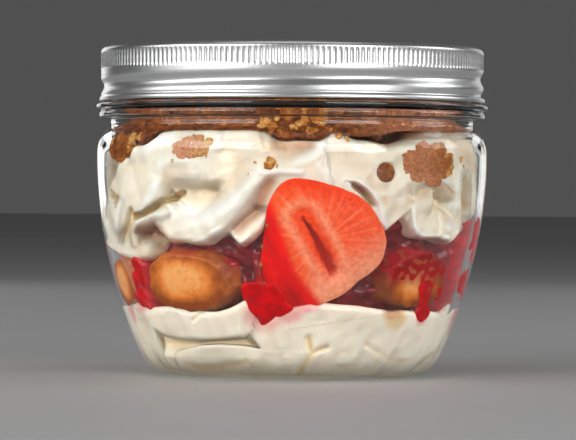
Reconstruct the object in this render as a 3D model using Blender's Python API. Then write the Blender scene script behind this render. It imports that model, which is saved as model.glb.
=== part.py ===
"""A closed screw-lid jar of strawberry tiramisu.

A squat clear jar with a silver lid holds, from the bottom up: spooned cream, sponge
fingers in berry jam, half a strawberry on each side, folded cream and a crumble
topping. The origin is the centre of the flat base and +Z is up. Azimuth 0 is the front
(-Y) and grows towards the right (+X). Every size below is in millimetres.
"""

import math
import random

import bmesh
import bpy
import numpy as np
from mathutils import Vector

MM = 0.001
GAP = 0.3
GLASS_GAP = 0.45

# Jar: flat base, bowed body, shoulder, neck, two beads and a plain finish.
BASE_FLAT = 28.5
HEEL_HEIGHT = 5.0
HEEL_CORNER = 32.9
BODY_RADIUS = 45.55
BODY_WIDEST = 50.0
BODY_DROP = 11.0
BODY_SPAN = 46.4
BODY_BOW = 1.91
NECK_RADIUS = 42.4
NECK_START = 58.0
SHOULDER_START = 51.5
BEAD_FLOOR = 59.2
BEAD_TOP = 63.1
FINISH_RADIUS = 42.6
WALL = 2.2
FLOOR = 3.0
MOUTH_RADIUS = 40.0
RIM_TOP = 75.2
BODY_RINGS = (12, 21, 31, 41)
INSIDE_RINGS = (54.8, 51.5, 44, 35, 25, 15, 7, 4.2, 3.3)
BEADS = [(45.1, 59.4), (45.2, 60.6), (44.7, 61.1), (45.9, 61.7), (45.8, 62.7)]
JAR_SEGMENTS = 44

# Lid: thin skirt with a rolled thread groove and a rolled lower edge.
LID_RADIUS = 44.6
LID_TOP = 76.0
LID_EDGE = 63.3
LID_INSIDE = 43.3
LID_SHEET = 0.5
GROOVE_DEPTH = 0.75
GROOVE_HALF = 2.1
GROOVE_PITCH = 4.2
GROOVE_LOW = 64.6
GROOVE_TURNS = (-0.15, 1.25)
GROOVE_FADE = 0.12
LID_SEGMENTS = 48

# Layers of the food.
UNDER_CREAM = 34.0
UNDER_RADIUS = 33.0
CREAM_CORE = 7.0
CREAM_MIDDLE = 54.0
CREAM_SEGMENTS = 64
LIP = 2.0
LOW_CREAM_MIDDLE = 17.5
LOW_CREAM_FOOT = 0.4
LOW_SEGMENTS = 48
JAM_RECESS = 4.5
JAM_SEGMENTS = 34
JAM_EDGE = 1.2
JAM_TOUCHES = ((-8.0, 5.5), (-58.0, 5.5), (80.0, 17.0))
SHELF_RADIUS = 35.5
PRESSED_FLAT = 0.4
HEEL_HOLLOW = 4.0
LOW_SHELF = (22.0, 34.0)
CRUMBLE_RADIUS = 38.6
CRUMBLE_EDGE = 58.0
CRUMBLE_TOP = 60.6

# Heights along the glass as (azimuth in degrees, height), repeated every half turn.
HEM = [
    (-90, 31), (-87, 30), (-78, 28.5), (-69, 27.2), (-57, 26.7), (-50, 26.6), (-49, 27.6),
    (-47, 29.7), (-45, 32.3), (-43.2, 34.2), (-41.8, 30.4), (-40, 30.8), (-37.5, 31.3),
    (-34, 30.7), (-31, 30.3), (-28, 30.4), (-22.5, 32.4), (-19.5, 32.6), (-16, 29.5),
    (-13, 31.4), (-10.5, 33), (-8.5, 34.3), (-6.5, 38), (-4, 42), (-1, 43.8), (3.5, 44),
    (12, 42.3), (18, 39.6), (23, 36.8), (27, 34.4), (29.5, 33.2), (32, 34.9), (35, 36.5),
    (37, 37.9), (38, 35.8), (39.5, 34), (41.5, 32.6), (46, 31.9), (53, 32), (59.5, 30.7),
    (63.5, 32.8), (69, 35), (74, 37.5), (80, 36.5), (86, 33.5), (90, 31),
]
CREAM_RIM = [
    (-90, 55), (-69, 54.3), (-58, 53), (-50, 53.2), (-45, 54.8), (-38, 55.2), (-12.5, 55.4),
    (-7.5, 55.2), (-4, 54), (4, 53.9), (8, 53.8), (12.5, 55), (16, 54.6), (20, 53.6),
    (25, 53.5), (30, 54.4), (36, 55.3), (90, 55),
]
LOW_RIM = [
    (-90, 17.6), (-84, 17.6), (-72.5, 17.8), (-67, 16.9), (-57, 16.4), (-45.5, 16.9),
    (-36, 16.1), (-27, 15.7), (-21.5, 16.6), (-16, 18.4), (-14, 19), (-13, 17), (-11.5, 13.8),
    (-10, 13.1), (-7, 14.4), (-3.5, 16.3), (0.5, 17), (3.5, 17.3), (9.5, 18.1), (16, 17.7),
    (23, 17.4), (29.5, 16.8), (35.5, 16.3), (37, 15.9), (42, 16.3), (51.5, 15.9), (55.5, 16.1),
    (67, 15.3), (74, 17.5), (90, 17.6),
]

# Cream folds: rim line as (azimuth, height), then on its left the width of the flat part
# and the width and fall of the gentle part, on its right the width of the steep side, and
# last how far the rim lies behind the glass. A closed line is a patch pressed flat.
FOLDS = [
    ([(-57.3, 30.5), (-57.2, 33.4), (-54.5, 35), (-50.5, 35.7), (-45, 36.6), (-41, 37.5)],
     0.8, 1.6, 1.6, 1.8, 0.2),
    ([(-44.8, 36.4), (-42.6, 34.6), (-42.2, 32.4), (-39, 32.8), (-34, 32.6), (-28, 32.6),
      (-23, 34.4), (-18.5, 37), (-14.5, 40.2), (-11.5, 43.6), (-8.5, 46), (-3.5, 47), (2, 47)],
     4.0, 3.4, 3.2, 2.2, 0.0),
    ([(-54.5, 38.3), (-50, 38.6), (-46.5, 40.3), (-43.8, 42.4), (-41.6, 45.4), (-40.3, 48.5),
      (-39.2, 52), (-38.4, 56)], 9.0, 6.0, 2.0, 2.6, 0.0),
    ([(-70, 30), (-66.5, 34.5), (-62.5, 39.5)], 5.0, 5.0, 2.0, 1.8, 0.1),
    ([(-80, 29.8), (-70, 28.8), (-62, 28.3), (-55, 28.1), (-51.5, 28.6)],
     1.2, 3.2, 3.4, 1.8, 0.1),
    ([(-19.5, 34.2), (-16.2, 31.4), (-13, 32.9), (-7, 36)], 0.8, 8.0, 2.2, 1.4, 1.7),
    ([(-40, 47.2), (-31, 47.2), (-23, 47.6)], 8.0, 4.0, 0.8, 6.0, 0.1),
    ([(-24, 48.6), (-17, 49.4), (-9, 50.2)], 8.0, 4.0, 0.5, 3.0, 1.1),
    ([(-10, 51.5), (-4, 52.2), (4, 53)], 6.0, 4.0, 0.5, 4.0, 2.8),
    ([(10.5, 54), (8, 52.6), (5.5, 50.6), (2, 49), (-2, 48), (-6, 47.6)],
     3.5, 5.0, 1.0, 2.4, 0.0),
    ([(11.2, 44.3), (10, 46.3), (9.5, 48.5), (9, 50.7), (9.5, 54.5)], 5.0, 4.0, 1.0, 1.0, 0.0),
    ([(64, 53), (47, 52.4), (36, 51.4), (28, 50.2), (20, 50.4), (13, 51.5)],
     3.5, 6.0, 1.3, 3.0, 0.35),
    ([(17, 45.8), (20, 45.2), (23.5, 43.5), (26, 41.2), (28, 38.5), (29.6, 35.4)],
     4.0, 5.0, 1.0, 1.1, 0.0),
    ([(29.8, 34.9), (34, 37.1), (37.3, 39.6), (38.4, 43.2)], 3.5, 4.0, 1.0, 1.3, 0.0),
    ([(34.5, 43.4), (36.5, 44.8), (39.5, 46.2), (44, 46.8), (47.5, 46.5), (51.5, 45.2),
      (56.5, 43)], 1.2, 5.0, 1.2, 3.4, 0.0),
    ([(40.3, 40.6), (39.9, 37.6), (40.6, 35.4), (42.6, 33.9), (47, 33.4), (53, 33.5),
      (58, 32.4), (60, 31.9)], 3.6, 3.6, 3.2, 1.5, 0.0),
    ([(61, 31.5), (60.6, 37.3), (58.2, 43.8), (56, 49.5), (54.5, 53)], 0.8, 3.5, 2.2, 2.2, 0.0),
    ([(73.5, 36.5), (70, 43), (68, 50), (67, 54)], 1.0, 5.0, 2.6, 3.0, 0.1),
    ([(89, 33), (87, 40), (84.5, 48), (83.5, 54)], 1.0, 7.0, 2.2, 4.0, 0.2),
    ([(-73.5, 28.5), (-77, 36), (-79, 44), (-81.5, 54)], 1.0, 8.0, 2.4, 3.4, 0.2),
]
LOW_FOLDS = [
    ([(-105, -2), (-66, -2), (-62, 3), (-60.5, 6.5), (-60, 10), (-59.5, 13), (-60, 24),
      (-105, 24), (-105, -2)], 99.0, 1.0, 0.0, 2.6, 0.0),
    ([(-59, 12.6), (-56, 12), (-52, 10.9), (-47.5, 10.4), (-35, 10.3), (-26, 10.7),
      (-17.5, 11.1), (-14.6, 12.6), (-13.6, 16), (-14.5, 24), (-61, 24), (-59, 12.6)],
     99.0, 1.0, 0.0, 1.3, 0.0),
    ([(-56, -2), (4, -2), (6, 2), (6, 6.2), (-7.5, 6.4), (-18, 7.3), (-26.5, 7.5), (-35, 7.1),
      (-42, 6.3), (-48, 5.6), (-50.2, 4), (-56, -2)], 99.0, 1.0, 0.0, 1.1, 0.0),
    ([(2, -2), (37, -2), (36.5, 5), (35.6, 8), (34.6, 10.8), (34.2, 13.4), (34.6, 24), (-8, 24),
      (-7, 14), (-10.8, 12.6), (-12, 10.2), (-9.5, 7.4), (-2, 6), (2, -2)],
     99.0, 1.0, 0.0, 1.2, 0.0),
    ([(37.5, -2), (105, -2), (105, 24), (43, 24), (43.5, 14), (44, 9), (41, 5.5), (38, 3),
      (37.5, -2)], 99.0, 1.0, 0.0, 2.6, 0.0),
]

# Sponge fingers: azimuth, height, half width, half height.
SPONGES = {
    "sponge_left": (-37, 23.2, 11.6, 7.6),
    "sponge_right": (46, 23.8, 9.8, 7.4),
    "sponge_side": (-72, 22.6, 6.2, 6.4),
}
SPONGE_RADIUS = 31.4
SPONGE_HALF_LENGTH = 12.2
SPONGE_SQUARENESS = 0.85
SPONGE_SAG = 0.8

# Strawberry half: tip, calyx end and shape of revolution.
BERRY_AZIMUTH = 9.5
BERRY_TIP = (-9.6, 46.2)
BERRY_STEM = (7.0, 21.2)
BERRY_WIDEST = 19.0
BERRY_RADIUS = 15.2
BERRY_SHOULDER = 14.0
BERRY_LENGTH = 29.4
BERRY_BEHIND_GLASS = 1.5
BERRY_RINGS = (1.5, 4.5, 9.0, 14.0, 19.0, 23.5, 27.4)

# Crumble pieces in the cream: azimuth, height, half sizes across, up and inwards.
CHUNKS = {
    "crumb_left": (-61.5, 51.9, 6.0, 2.2, 2.2),
    "crumb_centre": (-30.5, 51.8, 5.0, 2.2, 2.2),
    "crumb_right": (45.5, 48.9, 8.2, 4.1, 3.8),
    "crumb_ball": (28.5, 46.9, 2.5, 2.5, 2.4),
}
HEAP_PIECES = 26
HEAP_PIECE_SIZES = (1.5, 2.6)
HEAP_SEED = 7
HEAP_SEGMENTS = 28
SPONGE_SIDES = 10
BERRY_SIDES = 14

COLOURS = {
    "clear glass": ((0.86, 0.90, 0.90), 0.05, 0.0),
    "satin aluminium": ((0.70, 0.70, 0.71), 0.32, 1.0),
    "cream": ((0.88, 0.81, 0.68), 0.45, 0.0),
    "berry jam": ((0.32, 0.02, 0.03), 0.20, 0.0),
    "sponge": ((0.66, 0.32, 0.10), 0.65, 0.0),
    "strawberry": ((0.80, 0.07, 0.02), 0.30, 0.0),
    "crumble": ((0.50, 0.22, 0.06), 0.75, 0.0),
}


def clear_scene():
    for item in list(bpy.data.objects):
        bpy.data.objects.remove(item, do_unlink=True)


def material(name):
    """The named material, made the first time it is asked for."""
    if name in bpy.data.materials:
        return bpy.data.materials[name]
    colour, roughness, metallic = COLOURS[name]
    made = bpy.data.materials.new(name)
    made.use_nodes = True
    shader = made.node_tree.nodes["Principled BSDF"]
    shader.inputs["Base Color"].default_value = (*colour, 1.0)
    shader.inputs["Roughness"].default_value = roughness
    shader.inputs["Metallic"].default_value = metallic
    made.diffuse_color = (*colour, 1.0)
    return made


def place(azimuth, radius, height):
    """A point in metres from an azimuth in degrees, a radius and a height."""
    turn = math.radians(azimuth)
    return Vector((radius * math.sin(turn), -radius * math.cos(turn), height)) * MM


def finish(name, bm, look):
    """Turn a bmesh into a named, smooth-shaded object with outward faces."""
    bmesh.ops.recalc_face_normals(bm, faces=bm.faces)
    if bm.calc_volume(signed=True) < 0:
        bmesh.ops.reverse_faces(bm, faces=bm.faces)
    mesh = bpy.data.meshes.new(name)
    bm.to_mesh(mesh)
    bm.free()
    for face in mesh.polygons:
        face.use_smooth = True
    made = bpy.data.objects.new(name, mesh)
    made.data.materials.append(material(look))
    bpy.context.collection.objects.link(made)
    return made


def turned(name, path_at, segments, look):
    """A closed body round the axis. path_at(azimuth) lists (radius, height), and both
    ends of the path lie on the axis."""
    bm = bmesh.new()
    columns = [path_at(360.0 * i / segments) for i in range(segments)]
    first = bm.verts.new(place(0, 0, columns[0][0][1]))
    last = bm.verts.new(place(0, 0, columns[0][-1][1]))
    rings = []
    for i, column in enumerate(columns):
        azimuth = 360.0 * i / segments
        rings.append([bm.verts.new(place(azimuth, r, z)) for r, z in column[1:-1]])
    for i in range(segments):
        here, after = rings[i], rings[(i + 1) % segments]
        bm.faces.new((first, here[0], after[0]))
        for j in range(len(here) - 1):
            bm.faces.new((here[j], here[j + 1], after[j + 1], after[j]))
        bm.faces.new((here[-1], last, after[-1]))
    return finish(name, bm, look)


def curve(points, steps):
    """Points along a Bezier curve with two, three or four control points."""
    out = []
    for i in range(steps + 1):
        t = i / steps
        level = [Vector(p) for p in points]
        while len(level) > 1:
            level = [a.lerp(b, t) for a, b in zip(level, level[1:])]
        out.append(tuple(level[0]))
    return out


def body_radius(z):
    """Outer radius of the bowed body."""
    low = max(BODY_WIDEST - z, 0.0)
    return BODY_RADIUS - BODY_DROP * (low / BODY_SPAN) ** BODY_BOW


def inner_radius(z):
    """Inner radius of the jar at a height above its floor."""
    shoulder = np.clip((z - SHOULDER_START) / (NECK_START - SHOULDER_START), 0.0, 1.0)
    shoulder = shoulder * shoulder * (3.0 - 2.0 * shoulder)
    low = np.maximum(BODY_WIDEST - z, 0.0)
    body = BODY_RADIUS - WALL - BODY_DROP * (low / BODY_SPAN) ** BODY_BOW
    corner = np.clip((HEEL_HEIGHT + 1.0 - z) / (HEEL_HEIGHT + 1.0 - FLOOR), 0.0, 1.0)
    heel = HEEL_HOLLOW * (1.0 - np.sqrt(1.0 - corner**2))
    return body + (MOUTH_RADIUS - BODY_RADIUS + WALL) * shoulder - heel


def build_jar():
    outer = [(0, 0)] + curve(
        [(BASE_FLAT, 0), (HEEL_CORNER, 0), (body_radius(HEEL_HEIGHT), HEEL_HEIGHT)], 3
    )
    outer += [(body_radius(z), z) for z in (*BODY_RINGS, SHOULDER_START)]
    outer += curve(
        [(BODY_RADIUS, SHOULDER_START), (BODY_RADIUS, 56.2), (NECK_RADIUS, 56.0),
         (NECK_RADIUS, NECK_START)], 3
    )[1:]
    outer += [(NECK_RADIUS, BEAD_FLOOR), *BEADS, (FINISH_RADIUS, BEAD_TOP)]
    rim = [(FINISH_RADIUS, 74.7), (41.6, RIM_TOP), (40.8, RIM_TOP), (MOUTH_RADIUS, 74.7)]
    inner = [(float(inner_radius(z)), z) for z in (NECK_START, *INSIDE_RINGS)]
    inner += [(float(inner_radius(FLOOR)) - 1.0, FLOOR), (0, FLOOR)]
    path = outer + rim + inner
    return turned("jar", lambda azimuth: path, JAR_SEGMENTS, "clear glass")


def groove(azimuth, z):
    """Depth of the rolled thread groove at a place on the skirt."""
    deepest = 0.0
    for turn in (-1, 0, 1):
        along = (azimuth - 90.0) / 360.0 + turn
        if not GROOVE_TURNS[0] <= along <= GROOVE_TURNS[1]:
            continue
        ends = min(along - GROOVE_TURNS[0], GROOVE_TURNS[1] - along)
        fade = min(1.0, ends / GROOVE_FADE)
        off = abs(z - GROOVE_LOW - GROOVE_PITCH * along) / GROOVE_HALF
        if off < 1.0:
            deepest = max(deepest, fade * GROOVE_DEPTH * 0.5 * (1.0 + math.cos(math.pi * off)))
    return deepest


def lid_path(azimuth):
    path = [(0, LID_TOP), (42.8, LID_TOP), (44.1, 75.5), (LID_RADIUS, 74.6), (LID_RADIUS, 71.6)]
    for z in (70.4, 69.4, 68.4, 67.4, 66.4, 65.4):
        path.append((LID_RADIUS - groove(azimuth, z), z))
    path += [(LID_RADIUS - 0.1, 64.4), (45.0, 63.8), (44.7, LID_EDGE)]
    path += [(LID_INSIDE, LID_EDGE), (LID_INSIDE, LID_TOP - LID_SHEET)]
    return path + [(0, LID_TOP - LID_SHEET)]


def build_lid():
    return turned("lid", lid_path, LID_SEGMENTS, "satin aluminium")


def half_turn(azimuth):
    """Azimuth folded into -90..90, so that a pattern repeats every half turn."""
    return (np.asarray(azimuth, float) + 90.0) % 180.0 - 90.0


def along_glass(line, azimuth):
    """Height of a line along the glass, with its corners eased."""
    azimuth = np.asarray(azimuth, float)
    xs, ys = zip(*line)
    return sum(np.interp(half_turn(azimuth + ease), xs, ys) for ease in (-1.2, 0, 1.2)) / 3.0


def signed_distance(u, z, rim):
    """Distance to a line on the unrolled glass, positive on its left-hand side."""
    best = np.full(np.shape(u), np.inf)
    side = np.ones(np.shape(u))
    for (u0, z0), (u1, z1) in zip(rim, rim[1:]):
        du, dz = u1 - u0, z1 - z0
        t = np.clip(((u - u0) * du + (z - z0) * dz) / (du * du + dz * dz), 0.0, 1.0)
        pu, pz = u - u0 - t * du, z - z0 - t * dz
        reach = np.hypot(pu, pz)
        nearer = reach < best - 1e-9
        side = np.where(nearer, np.where(du * pz - dz * pu < 0, -1.0, 1.0), side)
        best = np.where(nearer, reach, best)
    return best * side


def fold_depth(azimuth, z, folds, core):
    """How far the cream lies behind the glass: the nearest fold wins, so creases form."""
    azimuth = np.asarray(azimuth, float)
    arc = math.radians(1.0) * (BODY_RADIUS - WALL)
    depth = np.full(np.broadcast(azimuth, z).shape, float(core))
    for shift in (0.0, 180.0):
        u = ((azimuth + shift + 180.0) % 360.0 - 180.0) * arc
        for rim, flat, gentle, fall, steep, lift in folds:
            s = signed_distance(u, z, [(a * arc, h) for a, h in rim])
            up = np.clip((s - flat) / gentle, 0.0, 1.0)
            down = np.clip(-s / steep, 0.0, 1.0)
            slope = fall * up * up * (3.0 - 2.0 * up) + np.maximum(s - flat - gentle, 0.0)
            roll = steep * (1.0 - np.sqrt(1.0 - down * down))
            roll = np.where(down < 1.0, roll, 50.0)
            depth = np.minimum(depth, lift + np.where(s >= 0.0, slope, roll))
    return np.maximum(depth - PRESSED_FLAT, 0.0)


def eased(distance, radius):
    """How far a rounded edge has drawn back at a distance from its end."""
    near = np.clip((radius - distance) / radius, 0.0, 1.0)
    return radius * (1.0 - np.sqrt(1.0 - near * near))


def cream_front(azimuth, z, low, high, folds, core):
    """Radius of a cream layer's face between its lower and upper edges."""
    depth = fold_depth(azimuth, z, folds, core)
    depth = depth + eased(z - low, LIP) + eased(high - z, LIP)
    return inner_radius(z) - GLASS_GAP - depth


def under_height(azimuth, radius):
    """Height of the folded cream's underside."""
    hem = float(along_glass(HEM, azimuth))
    edge = float(cream_front(azimuth, hem, hem, hem + 20.0, FOLDS, CREAM_CORE))
    edge = max(edge, SHELF_RADIUS)
    out = min(max((radius - UNDER_RADIUS) / (edge - UNDER_RADIUS), 0.0), 1.0)
    return UNDER_CREAM + (hem - UNDER_CREAM) * out


def top_height(azimuth, radius):
    """Height of the folded cream's upper surface."""
    rim = float(along_glass(CREAM_RIM, azimuth))
    return CREAM_MIDDLE + (rim - CREAM_MIDDLE) * min(radius / MOUTH_RADIUS, 1.0)


def build_top_cream():
    steps = np.linspace(0.0, 1.0, 11)

    def path(azimuth):
        low = float(along_glass(HEM, azimuth))
        high = float(along_glass(CREAM_RIM, azimuth))
        z = low + (high - low) * steps
        front = cream_front(azimuth, z, low, high, FOLDS, CREAM_CORE)
        front = np.maximum(front, SHELF_RADIUS)
        middle = (SHELF_RADIUS + UNDER_RADIUS) / 2.0
        out = [(0, UNDER_CREAM), (UNDER_RADIUS, UNDER_CREAM)]
        out.append((middle, under_height(azimuth, middle)))
        out += list(zip(front.tolist(), z.tolist()))
        out += [(r, top_height(azimuth, r)) for r in (30.0, 15.0)]
        return out + [(0, CREAM_MIDDLE)]

    return turned("top_cream", path, CREAM_SEGMENTS, "cream")


def low_height(azimuth, radius):
    """Height of the lower cream's upper surface."""
    rim = float(along_glass(LOW_RIM, azimuth))
    start, end = LOW_SHELF
    out = min(max((radius - start) / (end - start), 0.0), 1.0)
    return LOW_CREAM_MIDDLE + (rim - LOW_CREAM_MIDDLE) * out


def build_low_cream():
    floor = FLOOR + GAP
    steps = np.linspace(0.0, 1.0, 8)

    def path(azimuth):
        high = float(along_glass(LOW_RIM, azimuth))
        z = floor + LOW_CREAM_FOOT + (high - floor - LOW_CREAM_FOOT) * steps
        depth = fold_depth(azimuth, z, LOW_FOLDS, CREAM_CORE / 2.0)
        front = inner_radius(z) - GLASS_GAP - depth - eased(high - z, LIP)
        out = [(0, floor), (float(inner_radius(floor)) - 2.0, floor)]
        out += list(zip(front.tolist(), z.tolist()))
        out += [(r, low_height(azimuth, r)) for r in (30.0, 20.0)]
        return out + [(0, LOW_CREAM_MIDDLE)]

    return turned("low_cream", path, LOW_SEGMENTS, "cream")


def jam_depth(azimuth):
    """How far the jam lies behind the glass: it touches it in a few places."""
    folded = float(half_turn(azimuth))
    touch = 0.0
    for centre, width in JAM_TOUCHES:
        touch = max(touch, 1.0 - min(abs(folded - centre) / width, 1.0) ** 2)
    return JAM_RECESS * (1.0 - touch)


def build_jam():
    """The jam between the creams, clear of the humps on either side of each place."""
    def above(azimuth, radius):
        return max(low_height(azimuth + beside, radius) for beside in (-8, -4, 0, 4, 8)) + GAP

    def below(azimuth, radius):
        beside = (-10, -7, -4, 0, 4, 7, 10)
        return min(under_height(azimuth + step, radius) for step in beside) - 3.0 * GAP

    def path(azimuth):
        depth = jam_depth(azimuth)
        reach = float(inner_radius(24.0)) - GLASS_GAP - depth
        low = above(azimuth, reach)
        high = below(azimuth, reach)
        z = low + (high - low) * np.array([0.0, 0.2, 0.8, 1.0])
        front = np.minimum(inner_radius(z) - GLASS_GAP - depth, reach)
        front = front - eased(z - low, JAM_EDGE) - eased(high - z, JAM_EDGE)
        out = [(0, LOW_CREAM_MIDDLE + GAP)]
        out += [(r, above(azimuth, r)) for r in (20.0, 28.0)]
        out += list(zip(front.tolist(), z.tolist()))
        bend = min(float(front[-1]) - 0.4, SHELF_RADIUS)
        out.append((bend, min(high, below(azimuth, bend))))
        return out + [(UNDER_RADIUS - 0.3, UNDER_CREAM - GAP), (0, UNDER_CREAM - GAP)]

    return turned("berry_jam", path, JAM_SEGMENTS, "berry jam")


def press_on_glass(bm):
    """Flatten whatever would pass the glass against it."""
    for vert in bm.verts:
        z = vert.co.z / MM
        radius = math.hypot(vert.co.x, vert.co.y) / MM
        limit = float(inner_radius(z)) - GLASS_GAP
        if radius > limit:
            vert.co.x *= limit / radius
            vert.co.y *= limit / radius


def build_sponge(name, azimuth, height, half_width, half_height):
    """A sponge finger that points at the axis, with its round end on the glass."""
    bm = bmesh.new()
    bmesh.ops.create_uvsphere(bm, u_segments=SPONGE_SIDES, v_segments=8, radius=1.0)
    turn = math.radians(azimuth)
    across = Vector((math.cos(turn), math.sin(turn), 0))
    outward = Vector((math.sin(turn), -math.cos(turn), 0))
    centre = place(azimuth, SPONGE_RADIUS, height)
    for vert in bm.verts:
        full = [math.copysign(abs(c) ** SPONGE_SQUARENESS, c) for c in vert.co]
        sag = -SPONGE_SAG * full[1] * full[1]
        vert.co = centre + MM * (
            across * full[0] * half_width
            + outward * full[1] * SPONGE_HALF_LENGTH
            + Vector((0, 0, full[2] * half_height + sag))
        )
    press_on_glass(bm)
    return finish(name, bm, "sponge")


def berry_radius(a):
    """Radius of the strawberry at a distance from its tip."""
    span = BERRY_WIDEST if a < BERRY_WIDEST else BERRY_SHOULDER
    return BERRY_RADIUS * (1.0 - abs((a - BERRY_WIDEST) / span) ** 1.7) ** 0.75


def build_strawberry(name, turn_by):
    """Half a strawberry with its cut face pressed on the glass."""
    azimuth = BERRY_AZIMUTH + turn_by
    turn = math.radians(azimuth)
    across = Vector((math.cos(turn), math.sin(turn), 0))
    outward = Vector((math.sin(turn), -math.cos(turn), 0))
    up = Vector((0, 0, 1))
    middle = (BERRY_TIP[1] + BERRY_STEM[1]) / 2.0
    origin = place(azimuth, float(inner_radius(middle)) - BERRY_BEHIND_GLASS, 0)
    tip = origin + MM * (across * BERRY_TIP[0] + up * BERRY_TIP[1])
    stem = origin + MM * (across * BERRY_STEM[0] + up * BERRY_STEM[1])
    axis = (stem - tip).normalized()
    side = axis.cross(outward).normalized()
    bm = bmesh.new()
    rings = []
    for a in BERRY_RINGS:
        radius = berry_radius(a)
        ring = []
        for i in range(BERRY_SIDES):
            around = 2.0 * math.pi * i / BERRY_SIDES
            reach = side * math.cos(around) + outward * math.sin(around)
            ring.append(bm.verts.new(tip + MM * (axis * a + reach * radius)))
        rings.append(ring)
    first = bm.verts.new(tip)
    last = bm.verts.new(tip + MM * axis * (BERRY_LENGTH - 0.4))
    for i in range(BERRY_SIDES):
        j = (i + 1) % BERRY_SIDES
        bm.faces.new((first, rings[0][i], rings[0][j]))
        bm.faces.new((last, rings[-1][j], rings[-1][i]))
        for lower, upper in zip(rings, rings[1:]):
            bm.faces.new((lower[i], upper[i], upper[j], lower[j]))
    press_on_glass(bm)
    return finish(name, bm, "strawberry")


def lump(bm, centre, axes, half_sizes, rng, detail):
    """Add a craggy lump: a few-sided ball with uneven radii."""
    made = bmesh.ops.create_icosphere(bm, subdivisions=detail, radius=1.0)["verts"]
    for vert in made:
        swell = rng.uniform(0.78, 1.12)
        reach = [c * swell * h for c, h in zip(vert.co, half_sizes)]
        vert.co = centre + MM * sum((a * r for a, r in zip(axes, reach)), Vector())
    return made


def build_chunk(name, azimuth, height, across_half, up_half, in_half):
    """A crumble piece pressed between the cream and the glass."""
    turn = math.radians(azimuth)
    axes = (
        Vector((math.cos(turn), math.sin(turn), 0)),
        Vector((0, 0, 1)),
        Vector((math.sin(turn), -math.cos(turn), 0)),
    )
    bm = bmesh.new()
    radius = float(inner_radius(height)) - GLASS_GAP - 0.55 * in_half
    rng = random.Random(int(abs(azimuth) * 10 + height))
    lump(bm, place(azimuth, radius, height), axes, (across_half, up_half, in_half), rng, 2)
    press_on_glass(bm)
    return finish(name, bm, "crumble")


def crumble_path(azimuth):
    """Profile of the heap's core, uneven all round."""
    turn = math.radians(azimuth)
    wave = math.sin(3 * turn + 1.0) + 0.6 * math.sin(7 * turn) + 0.4 * math.sin(11 * turn + 2.0)
    edge = CRUMBLE_EDGE + 0.5 * wave
    reach = CRUMBLE_RADIUS + 0.2 * wave
    path = [(0, CREAM_MIDDLE + 2.0 * GAP)]
    path += [(r, top_height(azimuth, r) + 2.0 * GAP) for r in (18.0, reach - 1.6)]
    path += [(reach, top_height(azimuth, reach) + 1.4), (reach, edge - 0.8)]
    path += [(reach - 1.4, edge), (24.0, 0.5 * (edge + CRUMBLE_TOP) + 0.3 * wave)]
    return path + [(10.0, CRUMBLE_TOP - 0.4), (0, CRUMBLE_TOP - 0.6)]


def build_crumble():
    """The topping: one core with crumble pieces fused all over it."""
    core = turned("crumble", crumble_path, HEAP_SEGMENTS, "crumble")
    rng = random.Random(HEAP_SEED)
    pieces = bpy.data.collections.new("heap pieces")
    bpy.context.scene.collection.children.link(pieces)
    axes = (Vector((1, 0, 0)), Vector((0, 1, 0)), Vector((0, 0, 1)))
    golden = 137.508
    for i in range(HEAP_PIECES):
        size = rng.uniform(*HEAP_PIECE_SIZES)
        radius = (CRUMBLE_RADIUS - 1.6) * math.sqrt((i + 0.5) / HEAP_PIECES)
        radius = min(radius, MOUTH_RADIUS - 1.0 - 1.15 * size)
        height = CRUMBLE_TOP - (CRUMBLE_TOP - CRUMBLE_EDGE) * (radius / CRUMBLE_RADIUS) ** 2
        bm = bmesh.new()
        lump(bm, place(golden * i, radius, height - 0.1), axes, (size, size, 0.8 * size), rng, 1)
        piece = finish(f"heap_{i}", bm, "crumble")
        bpy.context.collection.objects.unlink(piece)
        pieces.objects.link(piece)
    boolean(core, pieces, "UNION")
    for piece in list(pieces.objects):
        bpy.data.objects.remove(piece, do_unlink=True)
    bpy.data.collections.remove(pieces)
    return core


def boolean(target, collection, operation):
    """Apply one Boolean with a whole collection and keep the largest body."""
    step = target.modifiers.new(operation.lower(), "BOOLEAN")
    step.operation = operation
    step.operand_type = "COLLECTION"
    step.collection = collection
    step.solver = "EXACT"
    graph = bpy.context.evaluated_depsgraph_get()
    mesh = bpy.data.meshes.new_from_object(target.evaluated_get(graph))
    target.modifiers.remove(step)
    bm = bmesh.new()
    bm.from_mesh(mesh)
    bmesh.ops.triangulate(bm, faces=bm.faces)
    keep_largest(bm)
    bm.to_mesh(mesh)
    bm.free()
    mesh.name = target.name
    target.data = mesh


def keep_largest(bm):
    """Drop loose scraps and the walls of sealed hollows."""
    unseen = set(bm.verts)
    bodies = []
    while unseen:
        stack = [unseen.pop()]
        body = set(stack)
        while stack:
            for edge in stack.pop().link_edges:
                for vert in edge.verts:
                    if vert in unseen:
                        unseen.discard(vert)
                        body.add(vert)
                        stack.append(vert)
        bodies.append(body)
    largest = max(bodies, key=len)
    drop = [vert for vert in bm.verts if vert not in largest]
    bmesh.ops.delete(bm, geom=drop, context="VERTS")


def make_room(target, others):
    """Cut grown copies of the other pieces from the target, leaving a gap."""
    cutters = bpy.data.collections.new("cutters")
    bpy.context.scene.collection.children.link(cutters)
    for other in others:
        grown = other.copy()
        grown.data = other.data.copy()
        cutters.objects.link(grown)
        normals = [vert.normal.copy() for vert in grown.data.vertices]
        for vert, normal in zip(grown.data.vertices, normals):
            vert.co += normal * GAP * MM
    boolean(target, cutters, "DIFFERENCE")
    for grown in list(cutters.objects):
        bpy.data.objects.remove(grown, do_unlink=True)
    bpy.data.collections.remove(cutters)


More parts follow.
